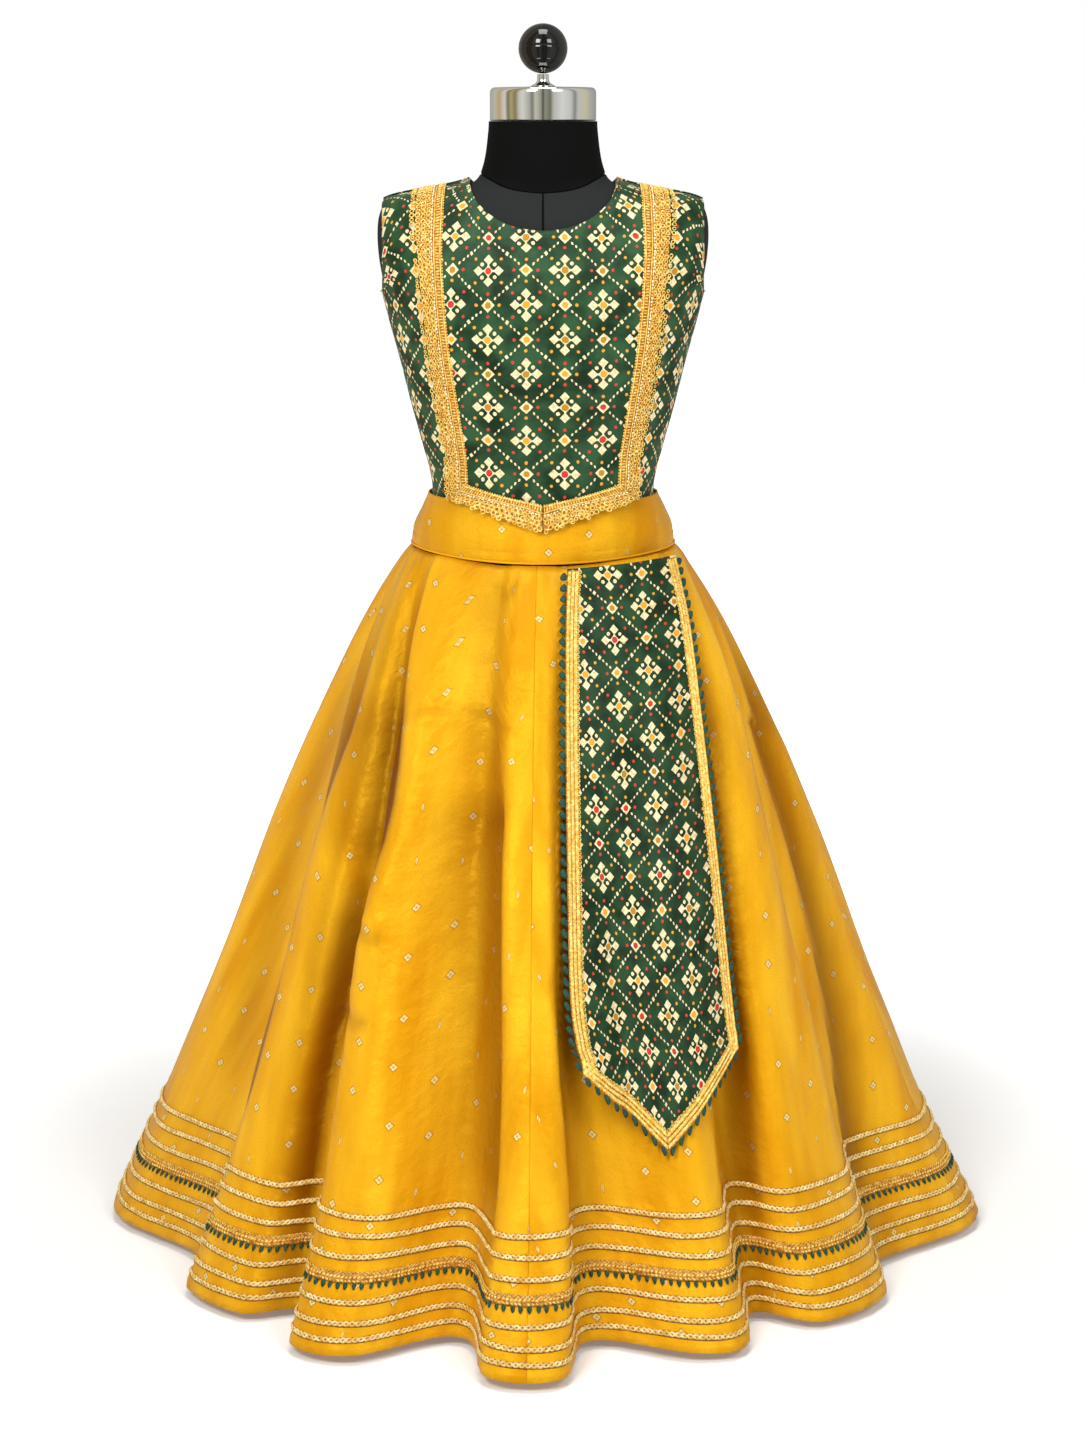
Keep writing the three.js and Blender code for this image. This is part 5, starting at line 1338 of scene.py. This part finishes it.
def jerseyCloth(name):
    # cotton jersey, knitted: matt, charcoal over the shoulders and black over the neck; its
    # loops are too fine to show and are drawn 0.7 mm apart
    material, tree, shader = newMaterial(name, "#292b2b", 0.85, **{"Specular IOR Level": 0.08})
    made = addNodes(tree, [
        ("cloth", "UVMap", (), {"uv_map": "cloth"}),
        ("xy", "SeparateXYZ", ["cloth"]),
        ("neck", "Math:GREATER_THAN", ["xy:Y", 0.0]),
        ("place", "TexCoord", ()),
        ("knit", "TexNoise", {"Vector": "place:Object", "Scale": 1400.0, "Detail": 1.0}),
        ("tone", "MixRGB", ["neck", linear("#292b2b"), linear("#0a0a0a")]),
        # shade painted in the seams' grooves: round the neck and down the centre front
        ("fromMiddle", "Math:ABSOLUTE", ["xy:X"]),
        ("middle", "Math:LESS_THAN", ["fromMiddle", form["frontSeam"]["seamShadeHalf"]]),
        ("torso", "Math:SUBTRACT", [1.0, "neck"]),
        ("down", "Math:MULTIPLY", ["middle", "torso"]),
        ("fromNeck", "Math:ABSOLUTE", ["xy:Y"]),
        ("round", "Math:LESS_THAN", ["fromNeck", form["neckSeam"]["seamShadeHalf"]]),
        ("seams", "Math:MAXIMUM", ["down", "round"]),
        ("sewn", "MixRGB", ["seams", "tone", linear("#040404")]),
        ("loops", "Bump", {"Height": "knit", "Strength": 0.2, "Distance": 0.0002}),
    ])
    tree.links.new(made["sewn"].outputs[0], shader.inputs["Base Color"])
    tree.links.new(made["loops"].outputs[0], shader.inputs["Normal"])
    return material


# each finish, made from what the real one is; scales count its twists over a metre
choliPrint = printCloth("printed art silk", (13.4, -17.3), "#182f1b", "#315636")
# painted shade: the sash's copy of the same print has a darker ground
shadedSashPrint = printCloth("printed art silk of the sash", (14.5, -6.4), "#132816", "#28492c")
satin = satinCloth("mustard satin")
# cotton crochet worked with gold and cream yarn: bright loops over a ground painted dark as the shade in the
# lace's openings
shadedLaceGround = threadWork("crochet ground", "#8f5606", "#dc9a22", 0.6, 0.0, 420)
laceThread = threadWork("gold crochet thread", "#f4b02a", "#fff090", 0.45, 0.0, 420)
creamThread = threadWork("cream crochet thread", "#ffe48c", "#fffbe0", 0.4, 0.0, 420)
# gota, a ribbon of metallised yarn: paler and smoother than the crochet
gotaGround = threadWork("gota tape's edge", "#855410", "#b8842e", 0.5, 0.0, 300)
gotaThread = threadWork("gota plait", "#e2ad48", "#ffedac", 0.36, 0.0, 260)
# mercerised cotton: hardly any sheen
picotThread = threadWork("green picot thread", "#0b2f22", "#1e5643", 0.7, 0.0, 700)
stitchThread = threadWork("yellow sewing thread", "#c98a10", "#eab03a", 0.6, 0.0, 900)
jersey = jerseyCloth("cotton jersey")
chrome = newMaterial("chromed steel", "#e6e6e4", 0.06, 1.0)[0]      # polished: mirrors the room
gloss = newMaterial("gloss lacquer", "#060606", 0.08)[0]            # sprayed: small sharp lights
enamel = newMaterial("black enamel", "#141415", 0.35)[0]            # stoved: an even soft sheen
print("materials ready")

addForm(jersey)
finishes = {"chrome": chrome, "ball_gloss": gloss, "base_enamel": enamel}
for name, spec in fittings.items():
    addFitting(name, spec, finishes[spec["slot"]])
print("dress form ready")


def addCloth(name, grid, material, node, wall):
    points, uv = grid
    return addPiece(name, meshFromGrids(name, [points], [uv]), material, [node], wall)


def addPaintedShade(piece, depths):
    # painted shade on a cloth: how dark each point is painted, from 0 to 1
    hollow = piece.data.attributes.new("hollow", "FLOAT", "POINT")
    hollow.data.foreach_set("value", depths.astype(np.float32).ravel())


# crochet lace and plaits
crochet = {
    # sizes of beads are length, width and height
    "cordStep": 0.9, "pitch": 4.1, "loop": 1.6, "thread": 0.5,
    "chainPitch": 2.7, "chainBead": (2.5, 1.5, 1.3), "ribPitch": 2.4, "rib": (1.0, 4.6, 0.9),
    "edgeBead": (1.5, 1.4, 1.1), "strayBeads": 0.35, "edgeLoops": 0.5, "fringeLoops": 0.4,
    # places in the lace's width, from the inner edge at 0 to the outer edge at 1, and the
    # radius of the cords at its edges
    "cords": [(0.05, 0.6), (0.3, 0.5)], "chain": 0.39, "loopRows": [0.53, 0.71, 0.9],
    "ribs": 0.17, "stray": (0.62, 0.2), "outerLoops": 1.02, "edgeBeads": -0.012,
}
plaits = {
    "places": (0.2, 0.5, 0.8), "sway": 1.05, "period": 5.2, "strand": 0.78,
    "scallopPitch": 3.6, "scallop": 1.25, "scallopThread": 0.45,
}


def swayCord(strip, s, w, h, sway, period, phase, radius, sides=4, closed=False):
    # one strand of a plait, over and under its neighbour
    turn = math.tau * s / period + phase
    return cordGrid(strip, s, w + sway * np.sin(turn), h + 0.5 * radius * np.cos(2 * turn),
                    radius, sides, 0.85, closed)


def crochetLace(name, strip, outerHigh, start, end, fringe=0):
    # two meshes of raised work on a lace: gold loops, ribs and edges, and a cream chain; with
    # fringe, more loops stand out past the edge higher up
    def across(share):
        return strip["width"] * (share if outerHigh else 1 - share)

    s = np.arange(start, end, crochet["cordStep"])
    level = np.full_like(s, 0.45)
    cords = [cordGrid(strip, s, np.full_like(s, across(share)), level, radius, 4)
             for share, radius in crochet["cords"]]
    chain = beadSeed(*crochet["chainBead"])
    at = np.arange(start + 1.2, end - 1, crochet["chainPitch"])
    chains = [repeatOn(strip, chain, at, across(crochet["chain"]) + chance.uniform(-0.3, 0.3, len(at)),
                       0.7, turn=chance.uniform(-0.5, 0.5, len(at)), size=chance.uniform(0.7, 1.15, len(at)))]
    at = at[chance.random(len(at)) < crochet["strayBeads"]]
    first, spread = crochet["stray"]
    chains.append(repeatOn(strip, chain, at, across(first + spread * chance.random(len(at))), 0.9,
                           turn=chance.uniform(0, 3, len(at)), size=chance.uniform(0.5, 0.8, len(at))))
    loops = []
    ring = ringSeed(crochet["loop"], crochet["thread"])
    for k, share in enumerate(crochet["loopRows"]):
        at = np.arange(start + 1 + k * crochet["pitch"] / 2, end - 1, crochet["pitch"])
        at = at + chance.uniform(-0.35, 0.35, len(at))
        shake = chance.uniform(-0.4, 0.4, len(at))
        loops.append(repeatOn(strip, ring, at, across(share) + shake, 0.45,
                              size=chance.uniform(0.85, 1.2, len(at))))
    # now and then a loop stands out past the edge
    at = np.arange(start + 2, end - 1, crochet["pitch"])
    at = at[chance.random(len(at)) < crochet["edgeLoops"] + crochet["fringeLoops"] * fringe]
    ends = smoothStep(at, 0.1 * end, 0.35 * end) * fringe
    loops.append(repeatOn(strip, ring, at, across(crochet["outerLoops"] + 0.1 * ends), 0.3,
                          size=chance.uniform(0.7, 1.15, len(at))))
    at = np.arange(start + 0.8, end - 0.5, crochet["ribPitch"])
    loops.append(repeatOn(strip, beadSeed(*crochet["rib"]), at, across(crochet["ribs"]), 0.4,
                          turn=chance.uniform(-0.25, 0.25, len(at))))
    loops.append(repeatOn(strip, beadSeed(*crochet["edgeBead"]), at, across(crochet["edgeBeads"]), 0.35))
    gold = joinMeshes(name, [meshFromGrids(name, cords, join=True), *loops])
    return gold, joinMeshes(name + "_chain", chains)


def plaitLace(name, strip, innerHigh, start, end):
    # three plaits side by side with a scalloped inner edge
    s = np.arange(start, end, crochet["cordStep"])
    level = np.full_like(s, 0.5)
    cords = [swayCord(strip, s, strip["width"] * (share if innerHigh else 1 - share), level,
                      plaits["sway"], plaits["period"], phase + k, plaits["strand"])
             for k, share in enumerate(plaits["places"]) for phase in (0, math.pi)]
    at = np.arange(start + 1, end - 1, plaits["scallopPitch"])
    ring = ringSeed(plaits["scallop"], plaits["scallopThread"])
    scallops = repeatOn(strip, ring, at, strip["width"] if innerHigh else 0.0, 0.35)
    return joinMeshes(name, [meshFromGrids(name, cords, join=True), scallops])


def addLace(name, strip, points, node, works):
    # the lace's ground, 0.8 mm thick and painted dark as the shade in its openings, with its raised work on
    # it
    ground = addPiece(name, meshFromGrids(name, [points]), shadedLaceGround, [node], 0.8)
    return [ground, *(addPiece(name + suffix, mesh, material)
                      for suffix, mesh, material in works)]


panels = {"front_panel": frontCentre()}
for word, side in (("left", 1), ("right", -1)):
    panels["side_panel_" + word] = frontSide(side)
    panels["back_panel_" + word] = backPanel(side)
choliNodes = {"front_panel": "choli_front_centre"}
for word in ("left", "right"):
    choliNodes["side_panel_" + word] = "choli_front_" + word
    choliNodes["back_panel_" + word] = "choli_back_" + word
choliPieces = {name: addCloth(name, grid, choliPrint, choliNodes[name], choli["thin"])
               for name, grid in panels.items()}
choliLaces = []
for word, side in (("left", 1), ("right", -1)):
    strip = princessStrip(side)
    gold, cream = crochetLace("princess_crochet_" + word, strip, side > 0, 0.5, strip["length"] - 0.5, 1)
    choliLaces += addLace("princess_lace_" + word, strip, strip["points"], "choli_lace_" + word,
                          [("_work", gold, laceThread), ("_chain", cream, creamThread)])
    strip = flapStrip(side)
    gold, cream = crochetLace("flap_crochet_" + word, strip, False, 0.2, strip["length"] - 0.2)
    choliLaces += addLace("flap_lace_" + word, strip, np.swapaxes(strip["points"], 0, 1),
                          "choli_lace_hem_" + word,
                          [("_work", gold, laceThread), ("_chain", cream, creamThread)])
print("choli ready")

bands = {}
for word, front in (("front", True), ("back", False)):
    grid = bandHalf(front)
    bands[word] = addCloth("band_" + word, grid, satin, "waistband_" + word, waist["thin"])
    # painted shade over the band, swinging in slow waves across it
    x, y = grid[1][..., 0], grid[1][..., 1]
    wave = np.sin(0.021 * x + 0.06 * y) + np.sin(0.05 * x - 1.3)
    addPaintedShade(bands[word], waist["shade"] + waist["shadeSwing"] * wave)
seamStrip = waistLine(waist["lift"] + waist["wall"])
s = np.linspace(0, seamStrip["length"], 400, endpoint=False)
skin = cordGrid(seamStrip, s, np.full_like(s, 1.6), np.full_like(s, 0.35), waist["piping"], 6, closed=True)
piping = addPiece("piping", meshFromGrids("piping", [skin], join=True), satin,
                  ["waist_piping"])
stitchLine = waistLine(waist["lift"] + waist["wall"], waist["stitchAbove"])
at = np.arange(0, stitchLine["length"] - 1, waist["stitchPitch"])
stitch = beadSeed(*waist["stitchSize"], segments=5, rings=4)
stitches = addPiece("band_stitches", repeatOn(stitchLine, stitch, at, 0.0, -0.25), stitchThread)

gores = {}
for word, start, end in skirt["gores"]:
    grid = goreGrid(start, end)
    gores[word] = addCloth("gore_" + word, grid[:2], satin, "skirt_gore_" + word,
                           skirt["thin"])
    addPaintedShade(gores[word], grid[2])
print("skirt ready")

# hem trims: each braid's height up the cloth, how it is plaited, and the crochet band
hemTrims = {"hem_braid_1": 12, "hem_braid_2": 24, "hem_braid_3": 40, "hem_braid_4": 74,
            "hem_braid_5": 90, "hem_braid_6": 105}
braid = {
    "width": 5, "flat": 0.24, "step": 1.5, "period": 8.6, "sway": 1.5, "strand": 0.95,
    "drifts": [(0.45, 9, 1), (0.3, 31, 2)],          # height, waves round and each braid's shift
}
band = {
    "above": 59, "width": 9, "flat": 0.2, "loopPitch": 3.4, "loop": 1.35, "thread": 0.4, "loopAbove": 3.0,
    "beadPitch": 3.2, "bead": (3.0, 1.9, 1.5), "beadRows": [(0.4, 0.5), (-2.4, -0.5)],
    "picotPitch": 6.4, "picotSize": (5.0, 5.8, 1.8), "picotPoint": 0.62,
}
hem = hemStrip()
count = int(hem["length"] / braid["step"])
s = np.arange(count) * hem["length"] / count
coarse = np.linspace(0, hem["length"], 1100, endpoint=False)
hemPieces = []
for k, (name, above) in enumerate(hemTrims.items()):
    drift = sum(high * np.sin(math.tau * s * waves / hem["length"] + shift * k)
                for high, waves, shift in braid["drifts"])
    coarseDrift = np.interp(coarse, s, drift)
    skin = cordGrid(hem, coarse, above + coarseDrift, np.full_like(coarse, 0.35), braid["width"] / 2, 6,
                    braid["flat"], closed=True)
    tape = addPiece(name + "_tape", meshFromGrids(name, [skin], join=True), gotaGround,
                    [name])
    period = hem["length"] / round(hem["length"] / braid["period"])
    strands = [swayCord(hem, s, above + 0.3 + drift, np.full_like(s, 0.9), braid["sway"], period, phase,
                        braid["strand"], closed=True) for phase in (0, math.pi)]
    plait = addPiece(name + "_plait", meshFromGrids(name, strands, join=True), gotaThread)
    hemPieces += [tape, plait]
above = band["above"]
# the crochet band's ground, painted dark as the shade in its openings
skin = cordGrid(hem, coarse, np.full_like(coarse, above), np.full_like(coarse, 0.3), band["width"] / 2, 6,
                band["flat"], closed=True)
hemPieces.append(addPiece("hem_lace_ground", meshFromGrids("band", [skin], join=True), shadedLaceGround,
                          ["hem_crochet_band"]))


def spacedRound(pitch):
    # places round the hem, as near to the pitch as comes out even
    count = round(hem["length"] / pitch)
    return np.arange(count) * hem["length"] / count


loopRing = ringSeed(band["loop"], band["thread"], 7, 3)
work = [repeatOn(hem, loopRing, spacedRound(band["loopPitch"]), above + band["loopAbove"], 0.8)]
at = spacedRound(band["beadPitch"])
for drop, turn in band["beadRows"]:
    work.append(repeatOn(hem, beadSeed(*band["bead"], segments=5), at, above + drop, 0.9,
                         turn=turn, size=chance.uniform(0.85, 1.1, len(at))))
hemPieces.append(addPiece("hem_lace_work", joinMeshes("hem_lace", work), laceThread))
at = spacedRound(band["picotPitch"])
at = at + chance.uniform(-0.5, 0.5, len(at))
picot = beadSeed(*band["picotSize"], band["picotPoint"], 6, 5)
low = above - band["width"] / 2 - band["picotSize"][1] / 2 + 0.8
picots = repeatOn(hem, picot, at, low, 0.7, size=chance.uniform(0.88, 1.08, len(at)))
hemPieces.append(addPiece("hem_lace_picots", picots, picotThread))
print("hem trims ready")

# sash with its laces and picots
midLine = sashGrid[:, len(sashAcross) // 2]
upLine = runLengths(midLine[:, None])[:, 0] + sash["tip"]
sashUv = np.stack([(sashAcross[None] - 0.5) * runLengths(sashGrid, 1)[:, -1:],
                   np.interp(sashGrid[..., 2], midLine[:, 2], upLine)], -1)
sashPiece = addPiece("sash", meshFromGrids("sash", [sashGrid], [sashUv]), shadedSashPrint,
                     ["sash_panel"], sash["thin"])
sashTrims = []


def addPicots(name, strip, w, turn, node):
    count = int(strip["length"] / sash["picotPitch"])
    at = (np.arange(count) + 0.5) * strip["length"] / count
    seed = beadSeed(*sash["picotSize"], sash["picotPoint"], 8, 6)
    mesh = repeatOn(strip, seed, at, w, -0.5, turn=turn + chance.uniform(-0.12, 0.12, count),
                    size=chance.uniform(0.9, 1.06, count))
    return addPiece(name, mesh, picotThread, [node])


for word, near in (("near", True), ("far", False)):
    strip = sashStrip(near)
    work = plaitLace("sash_plait_" + word, strip, near, 2, strip["length"] - 0.5)
    sashTrims += addLace("sash_edge_" + word, strip, strip["points"], "sash_lace_" + word,
                         [("_work", work, laceThread)])
    w = -sash["picotOut"] if near else strip["width"] + sash["picotOut"]
    sashTrims.append(addPicots("picots_" + word, strip, w, rightAngle if near else -rightAngle,
                               "sash_picots_" + word))
    strip = pointStrip(near)
    work = plaitLace("sash_point_plait_" + word, strip, True, 0.5, strip["length"] - 0.5)
    sashTrims += addLace("sash_point_" + word, strip, np.swapaxes(strip["points"], 0, 1),
                         "sash_lace_point_" + word, [("_work", work, laceThread)])
    sashTrims.append(addPicots("picots_point_" + word, strip, -sash["picotOut"], 0.0,
                               "sash_picots_point_" + word))
print("sash ready")
